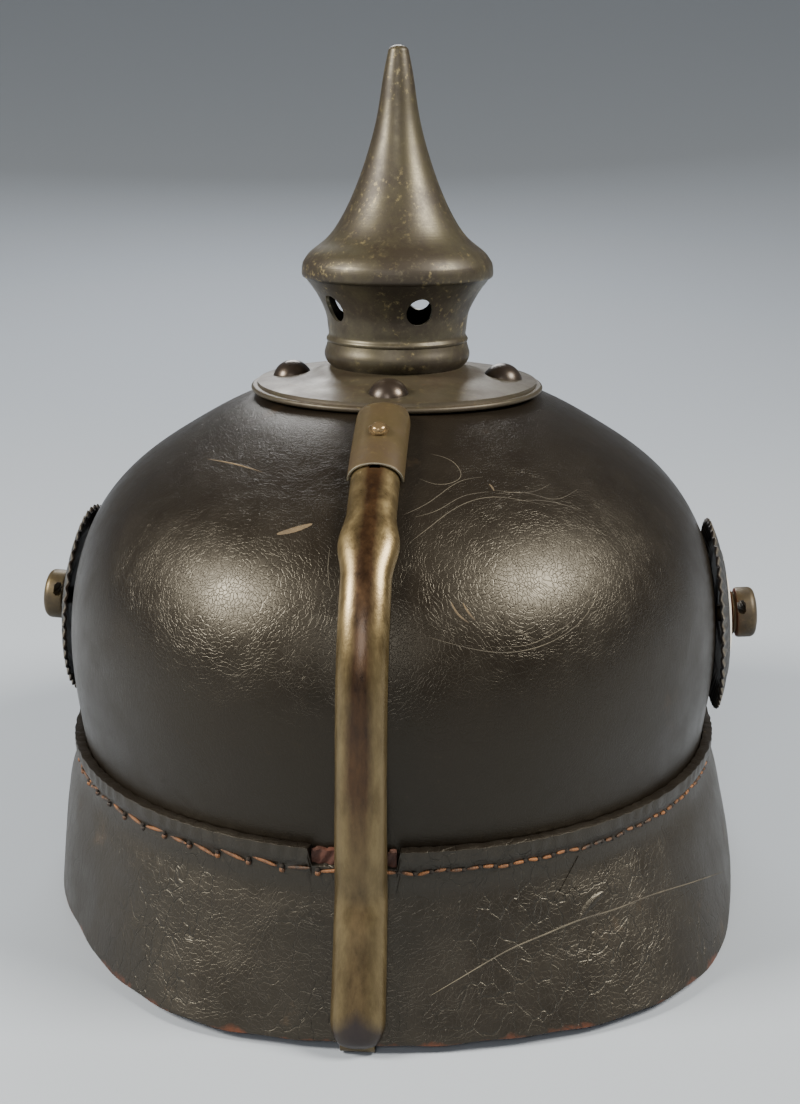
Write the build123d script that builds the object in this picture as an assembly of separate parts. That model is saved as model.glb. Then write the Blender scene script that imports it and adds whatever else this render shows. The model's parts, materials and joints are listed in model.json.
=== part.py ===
from build123d import *
import math
import os

# Field-service spiked helmet of boiled leather. Millimetres, +Z up, the wearer faces -Y, and the helmet
# stands on the edges of its two visors at Z = 0. The spike's axis is upright at X = 0, Y = 0 while the
# pieces are made, and the last step moves them all so that the origin lies under the middle of the box.

# Running and seating clearances
FIT_GAP = 0.3
SEAT_GAP = 0.2
RIVET_GAP = 0.05
OVERRUN = 5.0

# Leather shell
SHELL_WIDTH = 186.0
SHELL_LENGTH = 214.0
SHELL_WALL = 2.8
BELT_HEIGHT = 68.0
CROWN_RISE = 71.3
SHELL_EDGE_HEIGHT = 34.0
CROWN_OPENING_RADIUS = 14.0
# Points of the shell's outline: share of the half width, share of the rise above the belt
CROWN_OUTLINE_SHARES = [(0.441, 0.953), (0.645, 0.819), (0.806, 0.672), (0.903, 0.526), (0.973, 0.312),
                        (1.0, 0.0)]
DOME_RINGS = 16
# Below the belt: share of the half width, share of the drop from the belt to the shell's edge
TUCK_OUTLINE_SHARES = [(0.985, 0.5), (0.968, 1.0)]
BADGE_HOLE_SPACING = 88.0
BADGE_HOLE_RADIUS = 2.2
BADGE_HOLE_HEIGHT = 78.0

# Neck guard and front visor, both stitched round the shell's edge
VISOR_WALL = 2.6
SEAM_HEIGHT = 42.0
FLANGE_HEIGHT = 5.0
SEAM_DROP_AT_EAR = 5.0
GUARD_EDGE_HALF_WIDTH = 99.0
GUARD_REAR_REACH = 117.0
GUARD_EAR_REACH = 6.0
GUARD_FLANGE_NOTCH = 19.0
VISOR_EDGE_HALF_WIDTH = 99.0
VISOR_FRONT_REACH = 135.0
VISOR_EAR_START = 14.0
# Flare below the seam: share of the drop, share of the flare at the ears, share of the flare fore and aft
FLARE_SHARES = [(0.15, 0.28, 0.12), (0.38, 0.62, 0.34), (0.66, 0.86, 0.64), (1.0, 1.0, 1.0)]
# Side view of the guard's lower edge: share of its length from the ear, share of the drop from the seam
GUARD_EDGE_SHARES = [(0.0, 0.30), (0.10, 0.66), (0.30, 0.93), (0.52, 1.0)]
VISOR_EDGE_SHARES = [(0.0, 0.28), (0.15, 0.52), (0.45, 0.80), (0.75, 0.95), (1.08, 1.0)]
TRIM_WALL = 0.8
TRIM_DEPTH = 3.6
TRIM_EAR_SHORTFALL = 9.0
SKIN_STEPS = 12

# Round base plate of the spike, with a raised foot that takes the bayonet
PLATE_RADIUS = 41.3
PLATE_WALL = 0.9
PLATE_BEAD = 1.6
PLATE_RISE = 2.0
FOOT_RADIUS = 24.0
FOOT_TOP_RADIUS = 18.3
FOOT_RISE = 2.6
LEDGE_RADIUS = 15.4
STUD_CIRCLE_RADIUS = 30.0
STUD_HEAD_RADIUS = 5.65
STUD_HEAD_HEIGHT = 4.6
STUD_SHANK_RADIUS = 1.5
STUD_PRONG_LENGTH = 6.0
STUD_PRONG_WALL = 0.8
STUD_WASHER_RADIUS = 6.0
STUD_WASHER_WALL = 1.2

# Bayonet collar soldered in the neck
LUG_COUNT = 3
LUG_ANGLE = 34.0
NOTCH_ANGLE = 44.0
LUG_WALL = 1.4
LUG_REACH = 1.9
COLLAR_WALL = 1.2
COLLAR_FLANGE_WALL = 1.2

# Spike: spun neck with vents, and a hollow cone on top
NECK_WALL = 1.0
NECK_HEIGHT = 24.6
NECK_BOTTOM_RADIUS = 18.4
BEAD_RADIUS = 20.5
WAIST_RADIUS = 19.4
BRIM_RADIUS = 26.7
BRIM_HEIGHT = 4.2
CONE_WALL = 1.0
CONE_HEIGHT = 57.4
TIP_RADIUS = 2.8
NECK_SOCKET_DEPTH = 2.4
VENT_COUNT = 5
VENT_RADIUS = 3.65
VENT_HEIGHT_SHARE = 0.70
VENT_TURN = 111.0
# Outline of the neck: share of its height, share of the way from the waist's radius to the socket's
BEAD_HEIGHT_SHARE = 0.155
RIDGE_HEIGHT_SHARE = 0.30
NECK_FLARE_SHARES = [(0.42, 0.0), (0.57, 0.07), (0.70, 0.25), (0.84, 0.54), (1.0, 1.0)]
NECK_INSIDE_START_SHARE = 0.08
# Fullest point of the brim as a share of its height, and the tip's rounding as a share of its radius
BRIM_BULGE_SHARE = 0.4
TIP_CAP_SHARE = 0.6
# Part of the cone's outline that has a hollow behind it
HOLLOW_SHARES = (0.04, 0.62)
# Outline of the cone: share of its height above the brim, share of the way from the tip's radius
CONE_OUTLINE_SHARES = [(0.035, 0.945), (0.10, 0.755), (0.21, 0.545), (0.369, 0.359), (0.52, 0.229),
                       (0.70, 0.117), (0.86, 0.055)]

# Half-round steel spine down the back, with the sliding vent cover
SPINE_WALL = 0.8
SPINE_HEIGHT = 4.8
SPINE_WIDTH = 12.0
SHOULDER_WIDTH = 14.6
SPINE_END_WIDTH = 13.2
SHOULDER_SETBACK = 9.0
# Rounded foot of the spine: distance from its end, width and height, as shares of its end width and height
SPINE_END_SHARES = [(0.55, 1.0, 1.0), (0.36, 0.96, 0.97), (0.20, 0.86, 0.86), (0.08, 0.70, 0.66),
                    (0.0, 0.42, 0.35)]
SPINE_STEPS = 24
# Gap between the spine and the guard, and the heights where it is set, as shares of the seam's height
SPINE_SEAT = 0.6
SPINE_SEAT_SHARES = [1.0, 0.86, 0.72, 0.58, 0.44, 0.30, 0.16]
SPINE_START_GAP = 0.8
# Stations down the arc under the cover, and rises above the belt where the spine follows the shell below it
ARC_STATION_SHARES = [0.0, 0.12, 0.24, 0.36, 0.48, 0.6, 0.72, 0.84, 0.93]
SPINE_RISE_SHARES = [0.48, 0.30, 0.0]
SPINE_STRIP_WIDTH = 11.2
SPINE_VENT_RADIUS = 2.5
HOOK_WIDTH = 8.2
HOOK_WALL = 0.8
HOOK_RETURN = 6.0
SLIDE_WALL = 0.7
SLIDE_LENGTH = 30.0
SLIDE_NOSE = 4.0
SLIDE_TRAVEL = 12.0
SLIDE_ARCH = 3.0
KNOB_SETBACK = 17.0
KNOB_RADIUS = 2.45
KNOB_HEIGHT = 1.9
KNOB_SHANK_RADIUS = 1.0
KNOB_TAIL_RADIUS = 1.6
KEEPER_WIDTH = 5.0
KEEPER_LENGTH = 10.0
KEEPER_WALL = 0.7
KEEPER_CROWN_GAP = 0.5
PRONG_HEIGHT = 60.0
PRONG_WIDTH = 3.0
PRONG_WALL = 0.8
PRONG_LENGTH = 7.0
PRONG_WASHER_RADIUS = 6.5
PRONG_WASHER_WALL = 1.2

# Cockades and the strap posts that hold them
COCKADE_RADIUS = 28.0
COCKADE_WALL = 0.8
COCKADE_DISH = 5.0
COCKADE_TEETH = 48
COCKADE_TOOTH_DEPTH = 1.1
# Shares of the disc's radius at its hub and ring, of its wall for the ring's step, and of its dish at two rings
COCKADE_HUB_SHARE = 0.30
COCKADE_RING_SHARE = 0.68
COCKADE_STEP_SHARE = 0.6
COCKADE_MIDDLE_DISH_SHARE = 0.15
COCKADE_RING_DISH_SHARE = 0.42
COCKADE_STAND_OFF = 3.6
COCKADE_TILT = 4.0
COCKADE_HEIGHT = 73.0
POST_RADIUS = 7.3
POST_LENGTH = 7.6
POST_CHAMFER = 1.8
POST_SLOT_WIDTH = 2.4
POST_SLOT_HEIGHT = 5.0
POST_SHANK_RADIUS = 2.5
NUT_WIDTH = 8.0
NUT_WALL = 3.0
POST_WASHER_RADIUS = 7.5
POST_WASHER_WALL = 1.2

# Leather liner: a sweatband with tongues that lean in to the crown
LINER_WALL = 1.3
LINER_INSET = 0.6
LINER_TOP = 112.0
LINER_TOP_HALF_WIDTH = 36.0
TONGUE_COUNT = 9
TONGUE_GAP = 5.0
TONGUE_START = 60.0
LACE_HOLE_RADIUS = 2.0
LACE_HOLE_SETBACK = 9.0
# Outline of the liner: share of the height from the edge to the top, share of the way in to the top's radius
LINER_OUTLINE_SHARES = [(0.0, 0.0), (0.22, 0.03), (0.45, 0.14), (0.66, 0.32), (0.82, 0.56), (0.94, 0.82),
                        (1.0, 1.0)]

HALF_WIDTH = SHELL_WIDTH / 2
HALF_LENGTH = SHELL_LENGTH / 2
GUARD_EDGE_HEIGHT = HOOK_WALL + FIT_GAP
VISOR_EDGE_HEIGHT = TRIM_WALL + FIT_GAP
parts = {}


def revolved(outline, axis=Axis.Z, angle=360.0):
    """Turns a closed outline of curves in the XZ plane round an axis."""
    return revolve(make_face(outline), axis, angle)


def on_section(x, z):
    return Vector(x, 0, z)


def group(shapes):
    return Compound([solid for shape in shapes for solid in shape.solids()])


# Shell
def shell_curve(inset=0.0):
    """Half of the shell's outline in the XZ plane, from the crown to the edge, moved in by the inset."""
    width = HALF_WIDTH - inset
    rise = CROWN_RISE - inset
    drop = BELT_HEIGHT - SHELL_EDGE_HEIGHT
    points = [on_section(0, BELT_HEIGHT + rise)]
    points += [on_section(width * across, BELT_HEIGHT + rise * up) for across, up in CROWN_OUTLINE_SHARES]
    points += [on_section(width * across, BELT_HEIGHT - drop * down) for across, down in TUCK_OUTLINE_SHARES]
    return Spline(points, tangents=[(1, 0, 0), (-0.06, 0, -1)])


def curve_at(curve, value, coordinate):
    """Point of the curve where its falling Z, or its growing X up to the belt, reaches the value."""
    low, high = 0.0, 1.0
    for _ in range(40):
        middle = (low + high) / 2
        point = curve @ middle
        before = point.Z > value if coordinate == "z" else point.X < value and point.Z > BELT_HEIGHT
        low, high = (middle, high) if before else (low, middle)
    return curve @ low


OUTER_CURVE = shell_curve()
INNER_CURVE = shell_curve(SHELL_WALL)


def shell_share(z):
    """Half width of the shell at a height, as a share of its greatest half width."""
    return curve_at(OUTER_CURVE, z, "z").X / HALF_WIDTH


def oval_stack(levels):
    """Smooth solid through ovals, each given as height, half width and half length from the top down."""
    rings = [Pos(0, 0, z) * Ellipse(half_width, half_length) for z, half_width, half_length in levels]
    return loft(rings[::-1])


def dome(curve, inset):
    """Solid oval dome lofted through even steps of an outline, flat where the crown's opening is cut."""
    points = [curve @ ((index + 1) / DOME_RINGS) for index in range(DOME_RINGS)]
    stretch = (HALF_LENGTH - inset) / (HALF_WIDTH - inset)
    return oval_stack([(point.Z, point.X, point.X * stretch) for point in points])


def make_shell():
    skin = dome(OUTER_CURVE, 0.0) - dome(INNER_CURVE, SHELL_WALL)
    return skin - Pos(0, 0, BELT_HEIGHT + CROWN_RISE) * Cylinder(CROWN_OPENING_RADIUS, OVERRUN * 4)


shell = make_shell()


# Visors: oval lofts cut by their side views
def seam_height(y):
    """Height of the stitched seam, which falls from the middle of each visor to the ears."""
    return SEAM_HEIGHT - SEAM_DROP_AT_EAR * (1 - min(abs(y) / HALF_LENGTH, 1.0))


def skin_curve(edge_half_width, edge_reach, edge_height, offset):
    """Half width, half length and height of a visor's wall: it hugs the shell, then flares out."""
    points = []
    low = seam_height(0)
    gap = SEAT_GAP + offset
    flange = SEAM_HEIGHT + FLANGE_HEIGHT
    for z in (flange + OVERRUN, flange, (SEAM_HEIGHT + low) / 2, low):
        share = shell_share(z)
        points.append(Vector(HALF_WIDTH * share + gap, HALF_LENGTH * share + gap, z))
    seam = points[-1]
    flare_width = edge_half_width - VISOR_WALL + offset - seam.X
    flare_length = edge_reach - VISOR_WALL + offset - seam.Y
    drop = low - edge_height
    points += [Vector(seam.X + flare_width * at_ear, seam.Y + flare_length * at_end, low - drop * down)
               for down, at_ear, at_end in FLARE_SHARES]
    end = points[-1] - points[-2]
    return Spline(points + [points[-1] + end.normalized() * OVERRUN])


def skin_solid(curve):
    """Solid with a visor's oval outline at even steps of height."""
    top, bottom = (curve @ 0).Z, (curve @ 1).Z
    points = [curve_at(curve, top + (bottom - top) * index / SKIN_STEPS, "z")
              for index in range(SKIN_STEPS + 1)]
    return oval_stack([(point.Z, point.X, point.Y) for point in points])


def flared_skin(size, cutter, grow_out=0.0, grow_in=0.0):
    """Oval wall of a visor, cut by its side view."""
    outside = skin_solid(skin_curve(*size, VISOR_WALL + grow_out)) & cutter
    return outside - skin_solid(skin_curve(*size, -grow_in))


def side_cutter(outline):
    """Prism across the whole helmet with the given outline in the side view."""
    return extrude(Plane.YZ * make_face(outline), amount=HALF_WIDTH * 2, both=True)


def edge_points(shares, ear, reach, edge_height, lift=0.0):
    low = seam_height(0)
    return [Vector(ear + (reach - ear) * along, low - (low - edge_height) * down + lift)
            for along, down in shares]


def visor_outline(shares, ear, side, size, top, bottom_lift=0.0):
    """Side view of a visor: its lower edge, and straight sides up to the given top line."""
    _, reach, edge_height = size
    ear *= side
    points = edge_points(shares, ear, side * reach, edge_height, bottom_lift)
    lower = Spline(points, tangents=[(side * 0.15, -1), (side, 0)])
    far = Vector(side * (reach + OVERRUN * 4), points[-1].Y)
    near_top, far_top = Vector(ear, top(ear)), Vector(far.X, top(far.X))
    return Curve() + [lower, Polyline([points[-1], far, far_top, near_top, points[0]])]


def flange_top(y):
    return seam_height(y) + FLANGE_HEIGHT


REAR_SIZE = (GUARD_EDGE_HALF_WIDTH, GUARD_REAR_REACH, GUARD_EDGE_HEIGHT)
FRONT_SIZE = (VISOR_EDGE_HALF_WIDTH, VISOR_FRONT_REACH, VISOR_EDGE_HEIGHT)


def make_rear_visor():
    side = side_cutter(visor_outline(GUARD_EDGE_SHARES, -GUARD_EAR_REACH, 1, REAR_SIZE, flange_top))
    notch = Pos(0, HALF_LENGTH, SEAM_HEIGHT + FLANGE_HEIGHT)
    notch *= Box(GUARD_FLANGE_NOTCH, OVERRUN * 6, FLANGE_HEIGHT * 2)
    return flared_skin(REAR_SIZE, side) - notch


def make_front_visor():
    side = side_cutter(visor_outline(VISOR_EDGE_SHARES, VISOR_EAR_START, -1, FRONT_SIZE, flange_top))
    return flared_skin(FRONT_SIZE, side)


def make_front_trim():
    """Folded strip over the front visor's edge: a fat skin along the edge, less the room for the leather."""
    wall = TRIM_WALL + FIT_GAP
    view = (VISOR_EDGE_SHARES, VISOR_EAR_START, -1, FRONT_SIZE, flange_top)
    above = side_cutter(visor_outline(*view, bottom_lift=-wall))
    inside = side_cutter(visor_outline(*view, bottom_lift=TRIM_DEPTH))
    leather = side_cutter(visor_outline(*view, bottom_lift=-FIT_GAP))
    ear = -VISOR_EAR_START - TRIM_EAR_SHORTFALL
    ahead = Pos(0, ear - HALF_LENGTH, 0) * Box(SHELL_WIDTH * 2, SHELL_LENGTH, BELT_HEIGHT * 4)
    band = flared_skin(FRONT_SIZE, above & ahead, wall, wall)
    return band - inside - flared_skin(FRONT_SIZE, leather, FIT_GAP, FIT_GAP)


parts["rear_visor"] = make_rear_visor()
parts["front_visor"] = make_front_visor()
parts["front_visor_trim"] = make_front_trim()

# Base plate. Its rim clears the shell fore and aft, where the stretched crown stands highest under it.
UNDER_RIM = curve_at(OUTER_CURVE, PLATE_RADIUS * HALF_WIDTH / HALF_LENGTH, "x").Z
FOOT_PLANE = max(UNDER_RIM + PLATE_BEAD + PLATE_RISE, BELT_HEIGHT + CROWN_RISE + PLATE_WALL) + SEAT_GAP * 2
RIM_PLANE = FOOT_PLANE - PLATE_RISE
FOOT_TOP = FOOT_PLANE + FOOT_RISE
LEDGE_UNDERSIDE = FOOT_TOP - PLATE_WALL
PLATE_SLOPE = math.degrees(math.atan(PLATE_RISE / (PLATE_RADIUS - PLATE_BEAD - FOOT_RADIUS)))
COLLAR_RADIUS = LEDGE_RADIUS - FIT_GAP
LUG_RADIUS = COLLAR_RADIUS + LUG_REACH
LUG_TOP = LEDGE_UNDERSIDE - FIT_GAP
NECK_BOTTOM = FOOT_TOP + FIT_GAP


def sector(radius, angle, low, high, turn):
    """Pie slice of a disc, centred on the turn angle."""
    arc = CenterArc((0, 0), radius, -angle / 2, angle)
    outline = Curve() + [Line((0, 0), arc @ 0), arc, Line(arc @ 1, (0, 0))]
    return Pos(0, 0, low) * Rot(0, 0, turn) * extrude(make_face(outline), high - low)


def tube(outer, inner, low, high):
    return Pos(0, 0, (low + high) / 2) * (Cylinder(outer, high - low) - Cylinder(inner, high - low))


def lug_turns(offset=0.0):
    return [offset + 360.0 * index / LUG_COUNT for index in range(LUG_COUNT)]


def plate_outline():
    """Section of the spun plate: rolled rim, shallow cone, steep foot and the ledge turned in on top."""
    rim_bottom = RIM_PLANE - PLATE_BEAD
    bead_inner = PLATE_RADIUS - PLATE_BEAD
    bead_middle = PLATE_RADIUS - PLATE_BEAD / 2
    corners = [
        on_section(bead_middle, rim_bottom), on_section(bead_inner, rim_bottom),
        on_section(bead_inner, RIM_PLANE - PLATE_WALL),
        on_section(FOOT_RADIUS - PLATE_WALL, FOOT_PLANE - PLATE_WALL),
    ]
    inner_top = on_section(FOOT_TOP_RADIUS - PLATE_WALL, LEDGE_UNDERSIDE)
    ledge = [
        inner_top, on_section(LEDGE_RADIUS, LEDGE_UNDERSIDE), on_section(LEDGE_RADIUS, FOOT_TOP),
        on_section(FOOT_TOP_RADIUS, FOOT_TOP),
    ]
    foot = on_section(FOOT_RADIUS, FOOT_PLANE)
    return Curve() + [
        ThreePointArc(on_section(bead_inner, RIM_PLANE), on_section(PLATE_RADIUS, RIM_PLANE - PLATE_BEAD / 2),
                      corners[0]),
        Polyline(corners),
        Spline([corners[-1], inner_top], tangents=[(-1, 0, 0.3), (-0.5, 0, 1)]),
        Polyline(ledge),
        Spline([ledge[-1], foot], tangents=[(0.5, 0, -1), (1, 0, -0.3)]),
        Line(foot, on_section(bead_inner, RIM_PLANE)),
    ]


STUD_FOOT = FOOT_PLANE - (STUD_CIRCLE_RADIUS - FOOT_RADIUS) * math.tan(math.radians(PLATE_SLOPE))


def stud_places():
    """Turn angle of each of the four studs, with where it meets the plate."""
    for name, turn in (("left", 0), ("rear", 90), ("right", 180), ("front", 270)):
        yield name, turn, Rot(0, 0, turn) * Pos(STUD_CIRCLE_RADIUS, 0, STUD_FOOT) * Rot(0, PLATE_SLOPE, 0)


def cap(radius, height):
    """Domed head on the plane Z = 0."""
    ball = (radius ** 2 + height ** 2) / (2 * height)
    slab = Pos(0, 0, height / 2) * Box(radius * 3, radius * 3, height)
    return Pos(0, 0, height - ball) * Sphere(ball) & slab


def stud_depth(turn):
    """Depth of the shell's inner face under the plate's top face, at a stud."""
    across = HALF_WIDTH / HALF_LENGTH if turn % 180 else 1.0
    return STUD_FOOT - curve_at(INNER_CURVE, STUD_CIRCLE_RADIUS * across, "x").Z + FIT_GAP * 2


def rod(radius, top, bottom):
    return Pos(0, 0, (top + bottom) / 2) * Cylinder(radius, top - bottom)


base_plate = revolved(plate_outline())
notch_reach = (LUG_RADIUS + FIT_GAP, NOTCH_ANGLE, LEDGE_UNDERSIDE - FIT_GAP, FOOT_TOP + FIT_GAP)
for turn in lug_turns(180.0 / LUG_COUNT):
    base_plate -= sector(*notch_reach, turn)
stud_washers = []
for name, turn, place in stud_places():
    depth = stud_depth(turn)
    hole = place * rod(STUD_SHANK_RADIUS + FIT_GAP, OVERRUN, -depth - OVERRUN)
    base_plate -= hole
    shell -= hole
    washer_bottom = -depth - STUD_WASHER_WALL
    prong = Pos(0, 0, washer_bottom - RIVET_GAP - STUD_PRONG_WALL / 2)
    prong *= Box(STUD_SHANK_RADIUS * 2, STUD_PRONG_LENGTH * 2, STUD_PRONG_WALL)
    shank = rod(STUD_SHANK_RADIUS, RIVET_GAP, washer_bottom - RIVET_GAP)
    head = Pos(0, 0, RIVET_GAP) * cap(STUD_HEAD_RADIUS, STUD_HEAD_HEIGHT)
    parts["base_stud_" + name] = place * (head + shank + prong)
    washer = tube(STUD_WASHER_RADIUS, STUD_SHANK_RADIUS + RIVET_GAP, 0, STUD_WASHER_WALL)
    stud_washers.append(place * Pos(0, 0, washer_bottom) * washer)
parts["base_plate"] = base_plate
parts["stud_washers"] = group(stud_washers)


# Spike
def inner_of(curve, wall, first=0.0, last=1.0, stations=9):
    """Curve a wall's thickness inside a rising outline."""
    points = []
    for index in range(stations):
        share = first + (last - first) * index / (stations - 1)
        tangent = curve % share
        points.append((curve @ share) + Vector(-tangent.Z, 0, tangent.X) * wall)
    return Spline(points)


def make_neck():
    socket = BRIM_RADIUS - CONE_WALL - RIVET_GAP
    bottom = on_section(NECK_BOTTOM_RADIUS, NECK_BOTTOM)
    ridge_height = NECK_BOTTOM + NECK_HEIGHT * RIDGE_HEIGHT_SHARE
    ridge = on_section((WAIST_RADIUS + BEAD_RADIUS) / 2 - NECK_WALL / 3, ridge_height)
    fullest = on_section(BEAD_RADIUS, NECK_BOTTOM + NECK_HEIGHT * BEAD_HEIGHT_SHARE)
    bead = ThreePointArc(bottom, fullest, ridge)
    widening = socket - WAIST_RADIUS
    flare = Spline([ridge] + [on_section(WAIST_RADIUS + widening * out, NECK_BOTTOM + NECK_HEIGHT * up)
                              for up, out in NECK_FLARE_SHARES])
    bead_inside, flare_inside = inner_of(bead, NECK_WALL), inner_of(flare, NECK_WALL, NECK_INSIDE_START_SHARE)
    top = NECK_BOTTOM + NECK_HEIGHT + NECK_SOCKET_DEPTH
    outline = Curve() + [
        bead, flare,
        Polyline([flare @ 1, on_section(socket, top), on_section(socket - NECK_WALL, top), flare_inside @ 1]),
        flare_inside, Line(flare_inside @ 0, bead_inside @ 1), bead_inside, Line(bead_inside @ 0, bottom),
    ]
    neck = revolved(outline)
    for index in range(VENT_COUNT):
        turn = VENT_TURN + 360.0 * index / VENT_COUNT
        middle = Pos(BRIM_RADIUS / 2, 0, NECK_BOTTOM + NECK_HEIGHT * VENT_HEIGHT_SHARE)
        neck -= Rot(0, 0, turn) * middle * Rot(0, 90, 0) * Cylinder(VENT_RADIUS, BRIM_RADIUS)
    return neck


def make_cone():
    brim_bottom = NECK_BOTTOM + NECK_HEIGHT + RIVET_GAP
    brim_top = brim_bottom + BRIM_HEIGHT
    top = brim_top + CONE_HEIGHT
    brim_corner = on_section(BRIM_RADIUS - CONE_WALL / 3, brim_top)
    brim = ThreePointArc(on_section(BRIM_RADIUS - CONE_WALL / 2, brim_bottom),
                         on_section(BRIM_RADIUS, brim_bottom + BRIM_HEIGHT * BRIM_BULGE_SHARE), brim_corner)
    tip_corner = on_section(TIP_RADIUS, top - TIP_RADIUS * TIP_CAP_SHARE)
    flare = brim_corner.X - TIP_RADIUS
    sweep_up = Spline([brim_corner] + [on_section(TIP_RADIUS + flare * out, brim_top + CONE_HEIGHT * up)
                                       for up, out in CONE_OUTLINE_SHARES] + [tip_corner])
    tip = TangentArc(on_section(0, top), tip_corner, tangent=(1, 0, 0))
    hollow = inner_of(sweep_up, CONE_WALL, *HOLLOW_SHARES)
    inner_brim = on_section(BRIM_RADIUS - CONE_WALL, brim_bottom)
    inner_corner = on_section(BRIM_RADIUS - CONE_WALL, brim_bottom + NECK_SOCKET_DEPTH + RIVET_GAP)
    outline = Curve() + [
        brim, sweep_up, tip,
        Polyline([on_section(0, top), on_section(0, (hollow @ 1).Z + TIP_RADIUS), hollow @ 1]), hollow,
        Polyline([hollow @ 0, inner_corner, inner_brim, brim @ 0]),
    ]
    return revolved(outline)


def make_collar():
    low = LUG_TOP - LUG_WALL
    neck_inside = NECK_BOTTOM_RADIUS - NECK_WALL - RIVET_GAP
    collar = tube(COLLAR_RADIUS, COLLAR_RADIUS - COLLAR_WALL, low, NECK_BOTTOM + COLLAR_FLANGE_WALL)
    collar += tube(neck_inside, COLLAR_RADIUS - COLLAR_WALL, NECK_BOTTOM, NECK_BOTTOM + COLLAR_FLANGE_WALL)
    core = rod(COLLAR_RADIUS - COLLAR_WALL / 2, LUG_TOP, low)
    for turn in lug_turns():
        collar += sector(LUG_RADIUS, LUG_ANGLE, low, LUG_TOP, turn) - core
    return collar


parts["spike_neck"] = make_neck()
parts["spike_cone"] = make_cone()
parts["bayonet_collar"] = make_collar()


# Spine. Its upper part is a true arc, so that the vent cover can slide on it.
def rear_point(radius_or_height, coordinate, gap=0.0):
    """Point of the shell's rear outline in the side view, moved out from the belt's centre by the gap."""
    point = curve_at(OUTER_CURVE, radius_or_height, coordinate)
    out = Vector(0, point.X * HALF_LENGTH / HALF_WIDTH, point.Z - BELT_HEIGHT)
    return Vector(0, 0, BELT_HEIGHT) + out + out.normalized() * gap


SPINE_START_Y = PLATE_RADIUS + SPINE_START_GAP
SLIDE_ZONE = SLIDE_LENGTH + SLIDE_TRAVEL
# The spine starts as a flat strip, so that the cover's closed nose can slide down over it
RAIL_START = SLIDE_NOSE + SLIDE_TRAVEL + FIT_GAP * 2
VENT_DISTANCE = SLIDE_NOSE + FIT_GAP + SPINE_VENT_RADIUS
arc_stations = [rear_point((SPINE_START_Y + SLIDE_ZONE * share) * HALF_WIDTH / HALF_LENGTH, "x")
                for share in ARC_STATION_SHARES]
arc_fit = ThreePointArc(arc_stations[0], arc_stations[len(arc_stations) // 2], arc_stations[-1])
ARC_CENTRE = arc_fit.arc_center
ARC_RADIUS = max((point - ARC_CENTRE).length for point in arc_stations) + SEAT_GAP
START_ANGLE = math.degrees(math.acos((SPINE_START_Y - ARC_CENTRE.Y) / ARC_RADIUS))
DEGREES_PER_MM = 180.0 / math.pi / ARC_RADIUS
SLIDE_AXIS = Axis(ARC_CENTRE, (-1, 0, 0))


def arc_plane(distance, lift=0.0):
    """Plane square to the spine's arc at a distance down from its start, with Y pointing out of the shell."""
    angle = math.radians(START_ANGLE - distance * DEGREES_PER_MM)
    out = Vector(0, math.cos(angle), math.sin(angle))
    return Plane(ARC_CENTRE + out * (ARC_RADIUS + lift), x_dir=(-1, 0, 0), z_dir=(0, out.Z, -out.Y))


def half_round(width, height, skirt=0.0):
    """D-shaped section standing on its local X axis, with an optional skirt below it."""
    left, right = Vector(-width / 2, 0), Vector(width / 2, 0)
    arc = ThreePointArc(left, Vector(0, height), right)
    if skirt:
        down = Vector(0, skirt)
        return make_face(Curve() + [arc, Polyline([right, right - down, left - down, left])])
    return make_face(Curve() + [arc, Line(right, left)])


def bent_bar(section, start, length):
    """Section turned about the slide's axis from a start distance over a length of arc."""
    return revolve(arc_plane(start) * section, SLIDE_AXIS, length * DEGREES_PER_MM)


def radial_hole(distance, radius):
    return arc_plane(distance) * (Rot(90, 0, 0) * Cylinder(radius, SPINE_HEIGHT * 6))


guard_outer = skin_curve(*REAR_SIZE, VISOR_WALL)


def guard_reach(z):
    """Rear reach of the guard's outer face at a height."""
    return curve_at(guard_outer, z, "z").Y


def spine_width(distance, length):
    """Width of the lower spine: a rounded shoulder near its start, then a slow growth to its end."""
    bump = max(0.0, 1 - abs(distance - SHOULDER_SETBACK) / SHOULDER_SETBACK)
    width = SPINE_WIDTH + (SPINE_END_WIDTH - SPINE_WIDTH) * max(0.0, distance / length * 2 - 1)
    return width + (SHOULDER_WIDTH - SPINE_WIDTH) * bump ** 2 * (3 - 2 * bump)


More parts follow.
